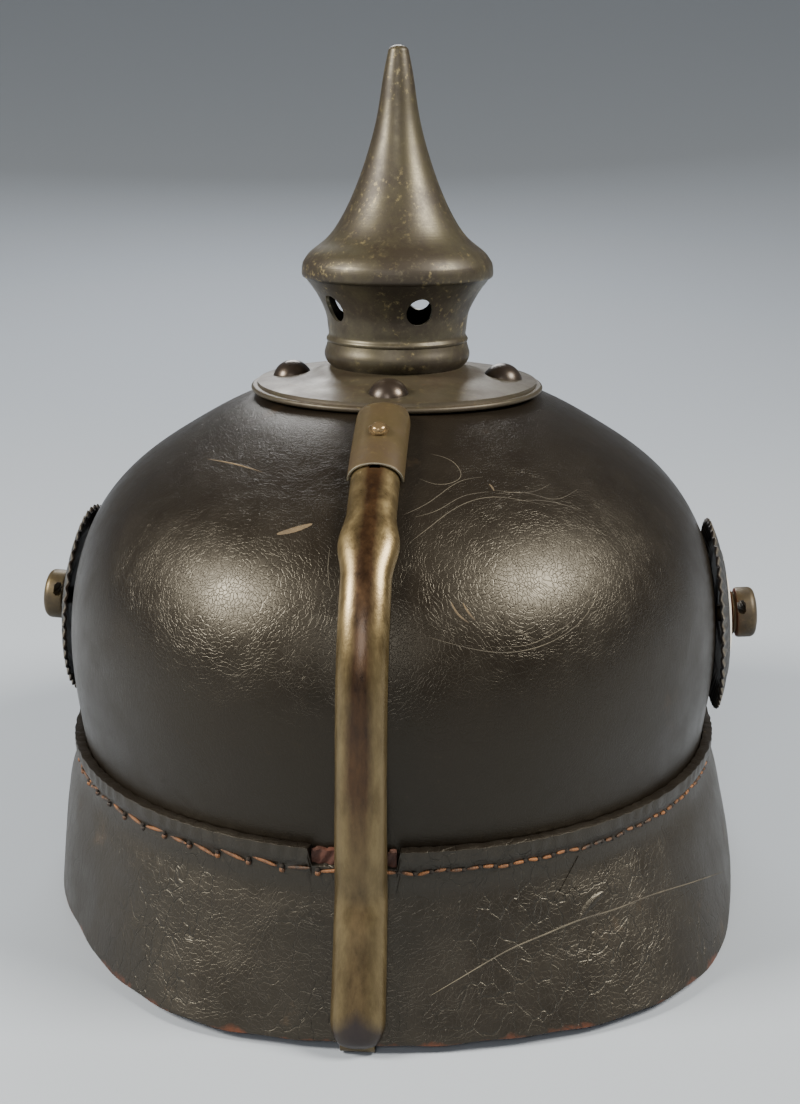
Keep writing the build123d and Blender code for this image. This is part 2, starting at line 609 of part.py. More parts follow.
def make_spine():
    roof = half_round(SPINE_WIDTH, SPINE_HEIGHT)
    room = half_round(SPINE_WIDTH - SPINE_WALL * 2, SPINE_HEIGHT - SPINE_WALL, SPINE_WALL)
    upper = bent_bar(roof, RAIL_START, SLIDE_ZONE - RAIL_START)
    upper_room = bent_bar(room, RAIL_START - SPINE_WALL, SLIDE_ZONE - RAIL_START + SPINE_WALL * 2)
    strip = Pos(0, SPINE_WALL / 2) * Rectangle(SPINE_STRIP_WIDTH, SPINE_WALL)
    end_plane = arc_plane(SLIDE_ZONE)
    below = [rear_point(BELT_HEIGHT + CROWN_RISE * rise, "z", SEAT_GAP * 2) for rise in SPINE_RISE_SHARES]
    foot = HOOK_WALL + FIT_GAP * 2
    below += [Vector(0, guard_reach(SEAM_HEIGHT * share) + SPINE_SEAT, SEAM_HEIGHT * share)
              for share in SPINE_SEAT_SHARES]
    below.append(Vector(0, guard_reach(foot) + SPINE_SEAT, foot))
    path = Spline([end_plane.origin] + below, tangents=[end_plane.z_dir, below[-1] - below[-2]])
    length = path.length
    straight = length - SPINE_END_WIDTH * SPINE_END_SHARES[0][0]

    def section(distance, across=1.0, up=1.0, thinner=0.0):
        point = path.position_at(distance, position_mode=PositionMode.LENGTH)
        along = path.tangent_at(distance, position_mode=PositionMode.LENGTH)
        width = spine_width(distance, length) * across - thinner * 2
        profile = half_round(width, SPINE_HEIGHT * up - thinner, thinner)
        return Plane(point, x_dir=(-1, 0, 0), z_dir=along) * profile

    steps = [straight * index / SPINE_STEPS for index in range(SPINE_STEPS + 1)]
    lower = loft([section(distance) for distance in steps], ruled=True)
    end = loft([section(length - SPINE_END_WIDTH * back, across, up)
                for back, across, up in SPINE_END_SHARES], ruled=True)
    lower_room = loft([section(distance, thinner=SPINE_WALL) for distance in steps], ruled=True)
    spine = (upper - upper_room) + (lower - lower_room) + end + make_hook()
    spine += bent_bar(strip, 0.0, RAIL_START + SLIDE_NOSE)
    spine -= radial_hole(VENT_DISTANCE, SPINE_VENT_RADIUS)
    slot_start = KNOB_SETBACK - KNOB_SHANK_RADIUS - FIT_GAP
    slot = Pos(0, SPINE_HEIGHT) * Rectangle((KNOB_SHANK_RADIUS + FIT_GAP) * 2, SPINE_HEIGHT)
    return spine - bent_bar(slot, slot_start, SLIDE_TRAVEL + (KNOB_SHANK_RADIUS + FIT_GAP) * 2)


def make_hook():
    """Tongue at the foot of the spine, folded under the guard's edge."""
    outer = guard_reach(GUARD_EDGE_HEIGHT) + SEAT_GAP
    inner = guard_reach(HOOK_RETURN) - VISOR_WALL - FIT_GAP * 2
    legs = Curve() + Polyline([
        (outer, HOOK_RETURN), (outer, HOOK_WALL), (inner, HOOK_WALL), (inner, HOOK_RETURN),
        (inner - HOOK_WALL, HOOK_RETURN), (inner - HOOK_WALL, 0), (outer + HOOK_WALL, 0),
        (outer + HOOK_WALL, HOOK_RETURN), (outer, HOOK_RETURN)])
    return extrude(Plane.YZ * make_face(legs), amount=HOOK_WIDTH / 2, both=True)


def make_slide():
    """Half-round cover that slides on the spine, with a closed nose over the strip and an arched lower edge."""
    outer_width = SPINE_WIDTH + (FIT_GAP + SLIDE_WALL) * 2
    outer = bent_bar(half_round(outer_width, SPINE_HEIGHT + FIT_GAP + SLIDE_WALL), 0.0, SLIDE_LENGTH)
    room = half_round(SPINE_WIDTH + FIT_GAP * 2, SPINE_HEIGHT + FIT_GAP, SLIDE_WALL)
    strip_room = Rectangle(SPINE_STRIP_WIDTH + FIT_GAP * 2, (SPINE_WALL + FIT_GAP) * 2)
    slide = outer - bent_bar(room, SLIDE_NOSE, SLIDE_LENGTH)
    slide -= bent_bar(strip_room, -FIT_GAP, SLIDE_NOSE + FIT_GAP * 2)
    middle = arc_plane(SLIDE_LENGTH / 2)
    view = Plane(middle.origin, x_dir=middle.x_dir, z_dir=middle.y_dir)
    half, top, foot = outer_width / 2 + FIT_GAP, SLIDE_LENGTH / 2 + FIT_GAP * 2, FIT_GAP - SLIDE_LENGTH / 2
    shoulder = top - outer_width / 2
    outline = Curve() + [
        ThreePointArc(Vector(-half, shoulder), Vector(0, top), Vector(half, shoulder)),
        Line(Vector(half, shoulder), Vector(half, foot)),
        ThreePointArc(Vector(half, foot), Vector(0, foot + SLIDE_ARCH), Vector(-half, foot)),
        Line(Vector(-half, foot), Vector(-half, shoulder)),
    ]
    slide &= extrude(view * make_face(outline), amount=SPINE_HEIGHT * 4, both=True)
    return slide - radial_hole(KNOB_SETBACK, KNOB_SHANK_RADIUS + RIVET_GAP)


def make_keeper():
    top = SPINE_HEIGHT - SPINE_WALL - FIT_GAP - KEEPER_CROWN_GAP
    section = Pos(0, top - KEEPER_WALL / 2) * Rectangle(KEEPER_WIDTH, KEEPER_WALL)
    keeper = bent_bar(section, KNOB_SETBACK - KEEPER_LENGTH / 2, KEEPER_LENGTH)
    return keeper - radial_hole(KNOB_SETBACK, KNOB_SHANK_RADIUS + RIVET_GAP)


def make_knob():
    """Rivet whose domed head is the slide's finger knob; its tail holds the keeper inside the spine."""
    plane = arc_plane(KNOB_SETBACK)
    place = Plane(plane.origin, x_dir=plane.x_dir, z_dir=plane.y_dir)
    seat = SPINE_HEIGHT + FIT_GAP + SLIDE_WALL + RIVET_GAP
    keeper_bottom = SPINE_HEIGHT - SPINE_WALL - FIT_GAP - KEEPER_CROWN_GAP - KEEPER_WALL - RIVET_GAP
    tail = rod(KNOB_TAIL_RADIUS, keeper_bottom, keeper_bottom - KEEPER_WALL)
    head = Pos(0, 0, seat) * cap(KNOB_RADIUS, KNOB_HEIGHT)
    return place * (head + rod(KNOB_SHANK_RADIUS, seat, keeper_bottom) + tail)


def make_spine_prongs():
    """Split strip from the spine's roof through the shell, its two ends bent over a washer inside."""
    outside = rear_point(PRONG_HEIGHT, "z").Y
    path_reach = HALF_LENGTH + SEAT_GAP * 2
    roof = path_reach + SPINE_HEIGHT - SPINE_WALL - SEAT_GAP * 4
    inside = outside - SHELL_WALL - FIT_GAP * 3 - PRONG_WASHER_WALL - RIVET_GAP
    shank = Pos(0, (roof + inside) / 2, PRONG_HEIGHT) * Box(PRONG_WIDTH, roof - inside, PRONG_WALL * 2)
    ends = Pos(0, inside - PRONG_WALL / 2, PRONG_HEIGHT) * Box(PRONG_WIDTH, PRONG_WALL, PRONG_LENGTH * 2)
    ring = tube(PRONG_WASHER_RADIUS, PRONG_WIDTH / 2 + SEAT_GAP * 2, -PRONG_WASHER_WALL, 0)
    washer = Pos(0, inside + RIVET_GAP, PRONG_HEIGHT) * Rot(90, 0, 0) * ring
    hole = Pos(0, outside, PRONG_HEIGHT) * Rot(90, 0, 0) * Cylinder(PRONG_WIDTH / 2 + FIT_GAP * 2, OVERRUN * 4)
    return shank + ends, washer, hole


parts["rear_spine"] = make_spine()
parts["vent_slide"] = make_slide()
parts["vent_slide_keeper"] = make_keeper()
parts["vent_knob"] = make_knob()
parts["spine_prongs"], parts["spine_washer"], prong_hole = make_spine_prongs()
shell -= prong_hole
shell -= radial_hole(VENT_DISTANCE, SPINE_VENT_RADIUS)


# Cockades and strap posts
def make_cockade():
    """Dished disc with raised rings and a toothed edge; its centre's back face lies on Z = 0."""
    hub, ring = COCKADE_RADIUS * COCKADE_HUB_SHARE, COCKADE_RADIUS * COCKADE_RING_SHARE
    step = Vector(0, 0, COCKADE_WALL * COCKADE_STEP_SHARE)
    middle_fall, ring_fall = COCKADE_DISH * COCKADE_MIDDLE_DISH_SHARE, COCKADE_DISH * COCKADE_RING_DISH_SHARE

    def line(lift):
        return [on_section(hub, lift), on_section((hub + ring) / 2, lift - middle_fall),
                on_section(ring, lift - ring_fall), on_section(COCKADE_RADIUS, lift - COCKADE_DISH)]
    top, under = line(COCKADE_WALL), line(0)
    outline = Curve() + [
        Line(on_section(0, COCKADE_WALL), top[0]), ThreePointArc(top[:3]),
        Polyline([top[2], top[2] - step, top[3], under[3], under[2] - step, under[2]]),
        ThreePointArc(under[2::-1]), Polyline([under[0], on_section(0, 0), on_section(0, COCKADE_WALL)]),
    ]
    disc = revolved(outline)
    teeth = []
    for index in range(COCKADE_TEETH * 2):
        angle = math.pi * index / COCKADE_TEETH
        radius = COCKADE_RADIUS - (COCKADE_TOOTH_DEPTH if index % 2 else 0.0)
        teeth.append((radius * math.cos(angle), radius * math.sin(angle)))
    star = extrude(make_face(Polyline(teeth, close=True)), amount=COCKADE_DISH * 2, both=True)
    return (disc & star) - Cylinder(POST_SHANK_RADIUS + SEAT_GAP, COCKADE_DISH * 2)


def make_post():
    """Knob with an eye under its head, on a shank that passes through the cockade and the shell."""
    seat = COCKADE_WALL + RIVET_GAP
    head = Pos(0, 0, seat) * rod(POST_RADIUS, POST_LENGTH, 0)
    head = chamfer(head.edges().group_by(Axis.Z)[-1], POST_CHAMFER)
    eye = Box(POST_RADIUS * 4, POST_SLOT_HEIGHT, POST_SLOT_WIDTH)
    head -= Pos(0, POST_RADIUS - POST_SLOT_HEIGHT / 2 - POST_CHAMFER, seat + POST_SLOT_WIDTH * 3 / 4) * eye
    return head + rod(POST_SHANK_RADIUS, seat, NUT_SEAT - NUT_WALL - POST_SHANK_RADIUS)


WASHER_LEAN = POST_WASHER_RADIUS * math.sin(math.radians(COCKADE_TILT))
WASHER_SEAT = -COCKADE_STAND_OFF - SHELL_WALL - FIT_GAP - WASHER_LEAN
NUT_SEAT = WASHER_SEAT - POST_WASHER_WALL - RIVET_GAP
cockade, post = make_cockade(), make_post()
post_washers, post_nuts = [], []
for name, side in (("right", -1), ("left", 1)):
    tilt = math.radians(COCKADE_TILT)
    out = Vector(side * math.cos(tilt), 0, math.sin(tilt))
    foot = Vector(side * HALF_WIDTH * shell_share(COCKADE_HEIGHT), 0, COCKADE_HEIGHT)
    foot += out * COCKADE_STAND_OFF
    place = Plane(foot, x_dir=(0, side, 0), z_dir=out)
    parts["cockade_" + name] = place * cockade
    parts["strap_post_" + name] = place * post
    washer = tube(POST_WASHER_RADIUS, POST_SHANK_RADIUS + SEAT_GAP, -POST_WASHER_WALL, 0)
    post_washers.append(place * Pos(0, 0, WASHER_SEAT) * washer)
    nut = Box(NUT_WIDTH, NUT_WIDTH, NUT_WALL) - Cylinder(POST_SHANK_RADIUS + RIVET_GAP, NUT_WALL)
    post_nuts.append(place * Pos(0, 0, NUT_SEAT - NUT_WALL / 2) * nut)
    shell -= place * Pos(0, 0, WASHER_SEAT) * rod(POST_SHANK_RADIUS + FIT_GAP, SHELL_WALL * 4, -SHELL_WALL)
parts["post_washers"] = group(post_washers)
parts["post_nuts"] = group(post_nuts)

for side in (-1, 1):
    drill = Pos(side * BADGE_HOLE_SPACING / 2, -HALF_LENGTH, BADGE_HOLE_HEIGHT) * Rot(90, 0, 0)
    shell -= drill * Cylinder(BADGE_HOLE_RADIUS, HALF_LENGTH)
parts["shell"] = shell


# Liner
def make_liner():
    """Sweatband stitched at the shell's edge, cut above into tongues that lean in to the crown."""
    inside = curve_at(INNER_CURVE, SHELL_EDGE_HEIGHT, "z").X - LINER_INSET
    stretch = (HALF_LENGTH - SHELL_WALL) / (HALF_WIDTH - SHELL_WALL)

    def ovals(inset):
        levels = []
        for up, across in LINER_OUTLINE_SHARES[::-1]:
            width = inside - (inside - LINER_TOP_HALF_WIDTH) * across - inset
            levels.append((SHELL_EDGE_HEIGHT + (LINER_TOP - SHELL_EDGE_HEIGHT) * up, width, width * stretch))
        return oval_stack(levels)
    liner = ovals(0.0) - ovals(LINER_WALL)
    slot_top = LINER_TOP + OVERRUN
    for index in range(TONGUE_COUNT):
        turn = 90 + 360.0 * (index + 0.5) / TONGUE_COUNT
        slot = Pos(HALF_LENGTH / 2, 0, (TONGUE_START + slot_top) / 2)
        slot *= Box(HALF_LENGTH, TONGUE_GAP, slot_top - TONGUE_START)
        foot = Pos(HALF_LENGTH / 2, 0, TONGUE_START) * Rot(0, 90, 0) * Cylinder(TONGUE_GAP / 2, HALF_LENGTH)
        liner -= Rot(0, 0, turn) * (slot + foot)
        hole_turn = 90 + 360.0 * index / TONGUE_COUNT
        hole = Pos(LINER_TOP_HALF_WIDTH + LACE_HOLE_SETBACK, 0, LINER_TOP)
        liner -= Rot(0, 0, hole_turn) * hole * Cylinder(LACE_HOLE_RADIUS, LINER_TOP - TONGUE_START)
    return liner


parts["liner"] = make_liner()

# The origin goes under the middle of the whole helmet's box
boxes = [shape.bounding_box() for shape in parts.values()]
shift = -(max(box.max.Y for box in boxes) + min(box.min.Y for box in boxes)) / 2
os.makedirs("parts", exist_ok=True)
for name, shape in parts.items():
    placed = Pos(0, shift, 0) * shape
    export_step(placed, "parts/" + name + ".step")
print("spike axis at Y", shift)
print("cover's axis at Y, Z", ARC_CENTRE.Y + shift, ARC_CENTRE.Z)
print("cover's travel in degrees", SLIDE_TRAVEL * DEGREES_PER_MM)
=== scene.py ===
# %% [markdown]
# # A spiked leather helmet in Blender
# The solids of the helmet come in as a fixed frame, and this lesson dresses them. The leather is
# boiled, lacquered and crazed, and the fittings are greyed steel worn to brown. The pieces that
# show are rebuilt here as finer meshes on the same measures, and the small hidden ones keep their solids.

import json
import math

import bmesh
import bpy
import numpy as np
from mathutils import Matrix, Vector
from mathutils.bvhtree import BVHTree


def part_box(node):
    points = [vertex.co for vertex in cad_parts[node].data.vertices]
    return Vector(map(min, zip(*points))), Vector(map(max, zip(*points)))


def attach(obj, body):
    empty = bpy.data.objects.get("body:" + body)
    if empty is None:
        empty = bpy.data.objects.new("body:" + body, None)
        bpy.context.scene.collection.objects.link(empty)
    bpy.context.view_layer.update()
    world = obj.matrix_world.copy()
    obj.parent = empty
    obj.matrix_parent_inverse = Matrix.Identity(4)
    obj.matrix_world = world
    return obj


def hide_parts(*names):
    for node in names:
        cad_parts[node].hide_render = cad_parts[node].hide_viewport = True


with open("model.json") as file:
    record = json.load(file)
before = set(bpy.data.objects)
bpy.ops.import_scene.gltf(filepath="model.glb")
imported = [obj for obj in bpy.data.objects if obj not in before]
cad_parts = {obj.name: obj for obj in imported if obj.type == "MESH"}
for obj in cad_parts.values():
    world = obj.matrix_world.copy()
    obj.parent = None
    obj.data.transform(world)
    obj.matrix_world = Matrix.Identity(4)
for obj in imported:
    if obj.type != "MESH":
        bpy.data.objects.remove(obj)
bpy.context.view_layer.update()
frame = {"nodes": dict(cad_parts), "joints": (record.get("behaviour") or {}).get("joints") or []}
MM = 0.001
PLATE_BEAD = 1.6
low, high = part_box("base_plate")
AXIS_Y = (low.y + high.y) / 2 / MM
rim_plane = low.z / MM + PLATE_BEAD
print("spike axis at y =", round(AXIS_Y, 2), "mm;", len(frame["nodes"]), "nodes in the frame")

# %% [markdown]
# ## The camera
# The photograph looks at the back of the helmet from a little above. The camera stands 424 mm
# from the spike's axis and tilts 16 degrees down, which gives the same leaning sides and the same
# view on to the round plate.

# %% Place the camera
PHOTO_SIZE = (800, 1104)
FOCAL_PIXELS = 1500.0
SENSOR_HEIGHT = 36.0
CAMERA_DISTANCE, CAMERA_HEIGHT = 424.0, 70.5
CAMERA_TURN, CAMERA_TILT = math.radians(4.2), math.radians(15.9)
CAMERA_YAW, CAMERA_ROLL = math.radians(-0.15), math.radians(0.3)


def in_scene(name, data):
    """New object in the scene for a mesh, a camera or a lamp."""
    thing = bpy.data.objects.new(name, data)
    bpy.context.scene.collection.objects.link(thing)
    return thing


camera_data = bpy.data.cameras.new("camera")
camera_data.sensor_fit = "VERTICAL"
camera_data.sensor_height = SENSOR_HEIGHT
camera_data.lens = FOCAL_PIXELS / PHOTO_SIZE[1] * SENSOR_HEIGHT
camera_data.clip_start = 0.01
camera = in_scene("camera", camera_data)
camera_place = Vector((-math.sin(CAMERA_TURN) * CAMERA_DISTANCE,
                       AXIS_Y + math.cos(CAMERA_TURN) * CAMERA_DISTANCE,
                       rim_plane + CAMERA_HEIGHT)) * MM
camera.matrix_world = (Matrix.Translation(camera_place)
                       @ Matrix.Rotation(math.pi + CAMERA_TURN + CAMERA_YAW, 4, "Z")
                       @ Matrix.Rotation(math.pi / 2 - CAMERA_TILT, 4, "X")
                       @ Matrix.Rotation(CAMERA_ROLL, 4, "Z"))
bpy.context.scene.camera = camera
bpy.context.view_layer.update()
print("camera at", [round(v, 3) for v in camera_place])

# %% [markdown]
# ## Smooth lines and grids
# Every outline of the helmet is a smooth line through a few measured points, so the first helper
# lays a cubic line through points, with its direction at the ends where that is known. The second
# turns a grid of places into a mesh. Together they make almost every piece.


# %% Helpers for lines and meshes
def smooth_line(points, count, start=None, end=None):
    """Cubic line through the points, sampled evenly; start and end are its directions there."""
    points = np.array(points, float)
    steps = np.linalg.norm(np.diff(points, axis=0), axis=1)
    reach = np.concatenate(([0.0], np.cumsum(steps)))
    size = len(points)
    system, right = np.zeros((size, size)), np.zeros_like(points)
    for i in range(1, size - 1):
        system[i, i - 1:i + 2] = steps[i], 2 * (steps[i - 1] + steps[i]), steps[i - 1]
        right[i] = 3 * (steps[i] * (points[i] - points[i - 1]) / steps[i - 1]
                        + steps[i - 1] * (points[i + 1] - points[i]) / steps[i])
    for row, near, given, first in ((0, 1, start, 0), (-1, -2, end, size - 2)):
        if given is None:
            system[row, row], system[row, near] = 2, 1
            right[row] = 3 * (points[first + 1] - points[first]) / steps[first]
        else:
            system[row, row] = 1
            right[row] = np.array(given, float) / np.linalg.norm(given)
    slopes = np.linalg.solve(system, right)
    at = np.linspace(0, reach[-1], count)
    piece = np.clip(np.searchsorted(reach, at, side="right") - 1, 0, size - 2)
    t = ((at - reach[piece]) / steps[piece])[:, None]
    h = steps[piece][:, None]
    return ((2 * t ** 3 - 3 * t ** 2 + 1) * points[piece] + (t ** 3 - 2 * t ** 2 + t) * h * slopes[piece]
            + (3 * t ** 2 - 2 * t ** 3) * points[piece + 1] + (t ** 3 - t ** 2) * h * slopes[piece + 1])


def mesh_object(name, points, faces, edges=()):
    """New object from places in millimetres round the spike's axis."""
    mesh = bpy.data.meshes.new(name)
    mesh.from_pydata([(x * MM, (y + AXIS_Y) * MM, z * MM) for x, y, z in points], edges, faces)
    return in_scene(name, mesh)


def grid_object(name, grid, closed=False):
    """Mesh from a grid of places (rows, columns, 3); closed joins the last column to the first."""
    rows, columns = grid.shape[:2]
    faces = []
    for row in range(rows - 1):
        here, below = row * columns, (row + 1) * columns
        for c in range(columns if closed else columns - 1):
            after = (c + 1) % columns
            faces.append((here + c, below + c, below + after, here + after))
    return mesh_object(name, grid.reshape(-1, 3), faces)


def turned(name, outline, steps=128, squash=1.0):
    """Closed outline of (radius, height) turned round the spike's axis; squash stretches it fore and aft."""
    angles = np.linspace(0, 2 * np.pi, steps, endpoint=False)
    outline = np.array(outline, float)
    ring = np.stack([np.cos(angles), np.sin(angles) * squash], 1)
    grid = np.zeros((len(outline) + 1, steps, 3))
    closed = np.vstack([outline, outline[:1]])
    grid[:, :, :2] = closed[:, None, :1] * ring[None]
    grid[:, :, 2] = closed[:, 1][:, None]
    return grid_object(name, grid, closed=True)


def tidy_mesh(thing, merge=0.002):
    """Joins doubled places, closes the poles and points every face outwards."""
    work = bmesh.new()
    work.from_mesh(thing.data)
    bmesh.ops.remove_doubles(work, verts=work.verts, dist=merge * MM)
    bmesh.ops.dissolve_degenerate(work, edges=work.edges, dist=merge * MM / 2)
    bmesh.ops.recalc_face_normals(work, faces=work.faces)
    work.to_mesh(thing.data)
    work.free()


def bake_modifiers(thing):
    """Turns the modifiers of a piece into plain mesh."""
    graph = bpy.context.evaluated_depsgraph_get()
    mesh = bpy.data.meshes.new_from_object(thing.evaluated_get(graph))
    thing.modifiers.clear()
    thing.data = mesh


def close_ends(thing):
    """Fills the open ends of a piece and points every face outwards."""
    work = bmesh.new()
    work.from_mesh(thing.data)
    bmesh.ops.holes_fill(work, edges=[edge for edge in work.edges if edge.is_boundary])
    bmesh.ops.recalc_face_normals(work, faces=work.faces)
    work.to_mesh(thing.data)
    work.free()


def give_wall(thing, thickness, offset, back_slot=0, rim_slot=0):
    """Thickens a sheet; offset picks the side, and the slots pick materials for the back and the rim."""
    wall = thing.modifiers.new("wall", "SOLIDIFY")
    wall.thickness, wall.offset = thickness * MM, offset
    wall.material_offset, wall.material_offset_rim = back_slot, rim_slot


def soften_edges(thing, width, sharp_angle, segments=2):
    soft = thing.modifiers.new("soft edges", "BEVEL")
    soft.width, soft.segments = width * MM, segments
    soft.limit_method, soft.angle_limit = "ANGLE", math.radians(sharp_angle)


def add_rod(rods, radius, length, place, sides=40):
    """Adds a round rod to a bmesh; place is the matrix that stands it where it cuts."""
    bmesh.ops.create_cone(rods, cap_ends=True, segments=sides, radius1=radius * MM, radius2=radius * MM,
                          depth=length * MM, matrix=place)


def drill_holes(thing, rods, edge_finish=None):
    """Cuts a bmesh of rods out of a piece; the new edges may take a finish of their own."""
    mesh = bpy.data.meshes.new(thing.name + "_rods")
    bmesh.ops.recalc_face_normals(rods, faces=rods.faces)
    rods.to_mesh(mesh)
    rods.free()
    cutter = in_scene(mesh.name, mesh)
    cut = thing.modifiers.new("holes", "BOOLEAN")
    cut.object, cut.operation, cut.solver = cutter, "DIFFERENCE", "EXACT"
    if edge_finish:
        thing.data.materials.append(edge_finish)
        mesh.materials.append(edge_finish)
        cut.material_mode = "TRANSFER"
    bake_modifiers(thing)
    bpy.data.objects.remove(cutter)


def smooth_shading(thing, sharp_angle=40):
    thing.data.shade_smooth()
    thing.data.set_sharp_from_angle(angle=math.radians(sharp_angle))


# %% [markdown]
# ## Finishes
# A finish is a small tree of shader nodes. These helpers add a node and plug its sockets in one
# line, so that each recipe below reads from top to bottom. All patterns read Object coordinates,
# in metres, so a scale of 1000 means one pattern cell to each millimetre.


# %% Helpers for shader nodes
def add(tree, kind, settings=(), **sockets):
    """New node; sockets are given by name, with _ for a space, as values or as other nodes' outputs."""
    node = tree.nodes.new(kind)
    for key, value in dict(settings).items():
        setattr(node, key, value)
    for key, value in sockets.items():
        plug(tree, node.inputs[key.replace("_", " ")], value)
    return node


def plug(tree, socket, value):
    if isinstance(value, bpy.types.NodeSocket):
        tree.links.new(value, socket)
    else:
        socket.default_value = value


def colour_mix(tree, amount, first, second):
    node = tree.nodes.new("ShaderNodeMix")
    node.data_type = "RGBA"
    for index, value in ((0, amount), (6, first), (7, second)):
        if not isinstance(value, bpy.types.NodeSocket) and index > 0:
            value = (*value, 1.0)
        plug(tree, node.inputs[index], value)
    return node.outputs[2]


def stretch_range(tree, value, low, high, to_low=0.0, to_high=1.0):
    node = add(tree, "ShaderNodeMapRange", Value=value)
    for key, number in (("From Min", low), ("From Max", high), ("To Min", to_low), ("To Max", to_high)):
        node.inputs[key].default_value = number
    return node.outputs[0]


def maths(tree, operation, first, second=0.0, clamp=False):
    node = tree.nodes.new("ShaderNodeMath")
    node.operation, node.use_clamp = operation, clamp
    plug(tree, node.inputs[0], first)
    plug(tree, node.inputs[1], second)
    return node.outputs[0]


def cloud(tree, where, scale, detail=4.0, roughness=0.55, distortion=0.0):
    return add(tree, "ShaderNodeTexNoise", Vector=where, Scale=scale, Detail=detail, Roughness=roughness,
               Distortion=distortion).outputs[0]


def cracks(tree, where, scale):
    """Distance to the nearest crack of a cell pattern, which is 0 on the crack."""
    node = tree.nodes.new("ShaderNodeTexVoronoi")
    node.feature = "DISTANCE_TO_EDGE"
    plug(tree, node.inputs["Vector"], where)
    node.inputs["Scale"].default_value = scale
    return node.outputs["Distance"]


def bump(tree, height, distance_mm, strength=1.0, normal=None):
    node = add(tree, "ShaderNodeBump", Height=height, Distance=distance_mm * MM, Strength=strength)
    if normal is not None:
        plug(tree, node.inputs["Normal"], normal)
    return node.outputs[0]


def new_finish(name):
    """Empty material with its tree, its surface shader and its Object coordinates."""
    finish = bpy.data.materials.new(name)
    finish.use_nodes = True
    tree = finish.node_tree
    surface = tree.nodes["Principled BSDF"]
    where = tree.nodes.new("ShaderNodeTexCoord").outputs["Object"]
    return finish, tree, surface, where


def stretched(tree, where, scale=(1, 1, 1), turn=(0, 0, 0), move=(0, 0, 0)):
    return add(tree, "ShaderNodeMapping", Vector=where, Scale=scale, Rotation=turn, Location=move).outputs[0]


# %% [markdown]
# ### Lacquered leather
# The leather was boiled, pressed and lacquered black. With age the lacquer has crazed into a fine
# net, and the brown leather shows through where it is rubbed. A cell pattern gives the net, clouds
# spread the rubbed places, and a slow change of roughness keeps the soft highlights of the lacquer.
# The rear visor is crazed and creased more, and its lower edge is worn to red-brown leather.

# %% Parts of the leather's pattern
SPECK_COLOUR, CRACK_COLOUR, EDGE_COLOUR = (0.12, 0.10, 0.07), (0.003, 0.0025, 0.002), (0.075, 0.021, 0.009)
LACQUER_TINT = (1.0, 0.94, 0.80, 1.0)
WANDER = 6.0
BARE_BELOW, BARE_FADE, BARE_RAGGED = 1.4, 1.2, 9.0


def wandering(tree, where):
    """Places shifted by a slow cloud, so that cells drawn on them lose their straight sides."""
    wander = add(tree, "ShaderNodeTexNoise", Vector=where, Scale=140.0, Detail=2.0)
    shift = add(tree, "ShaderNodeVectorMath", {"operation": "SCALE"})
    plug(tree, shift.inputs[0], wander.outputs["Color"])
    shift.inputs["Scale"].default_value = WANDER * MM
    moved = add(tree, "ShaderNodeVectorMath", {"operation": "ADD"})
    plug(tree, moved.inputs[0], where)
    plug(tree, moved.inputs[1], shift.outputs[0])
    return moved.outputs[0]


def speckled(tree, where, patches, amount, colour):
    """Pale crumbs of lacquer, only inside the patches."""
    dots = stretch_range(tree, cloud(tree, where, 800.0, detail=6.0, roughness=0.75), 0.60, 0.70)
    dots = maths(tree, "MULTIPLY", dots, patches)
    return colour_mix(tree, maths(tree, "MULTIPLY", dots, amount, clamp=True), colour, SPECK_COLOUR)


def bare_below(tree, where, colour):
    """The leather's own red-brown near the floor, up to a ragged line."""
    height = add(tree, "ShaderNodeSeparateXYZ", Vector=where).outputs["Z"]
    uneven = maths(tree, "SUBTRACT", cloud(tree, where, 90.0, detail=6.0), 0.5)
    ragged = maths(tree, "ADD", height, maths(tree, "MULTIPLY", uneven, BARE_RAGGED * MM))
    bare = stretch_range(tree, ragged, BARE_BELOW * MM, (BARE_BELOW + BARE_FADE) * MM, 1.0, 0.0)
    return colour_mix(tree, bare, colour, EDGE_COLOUR)


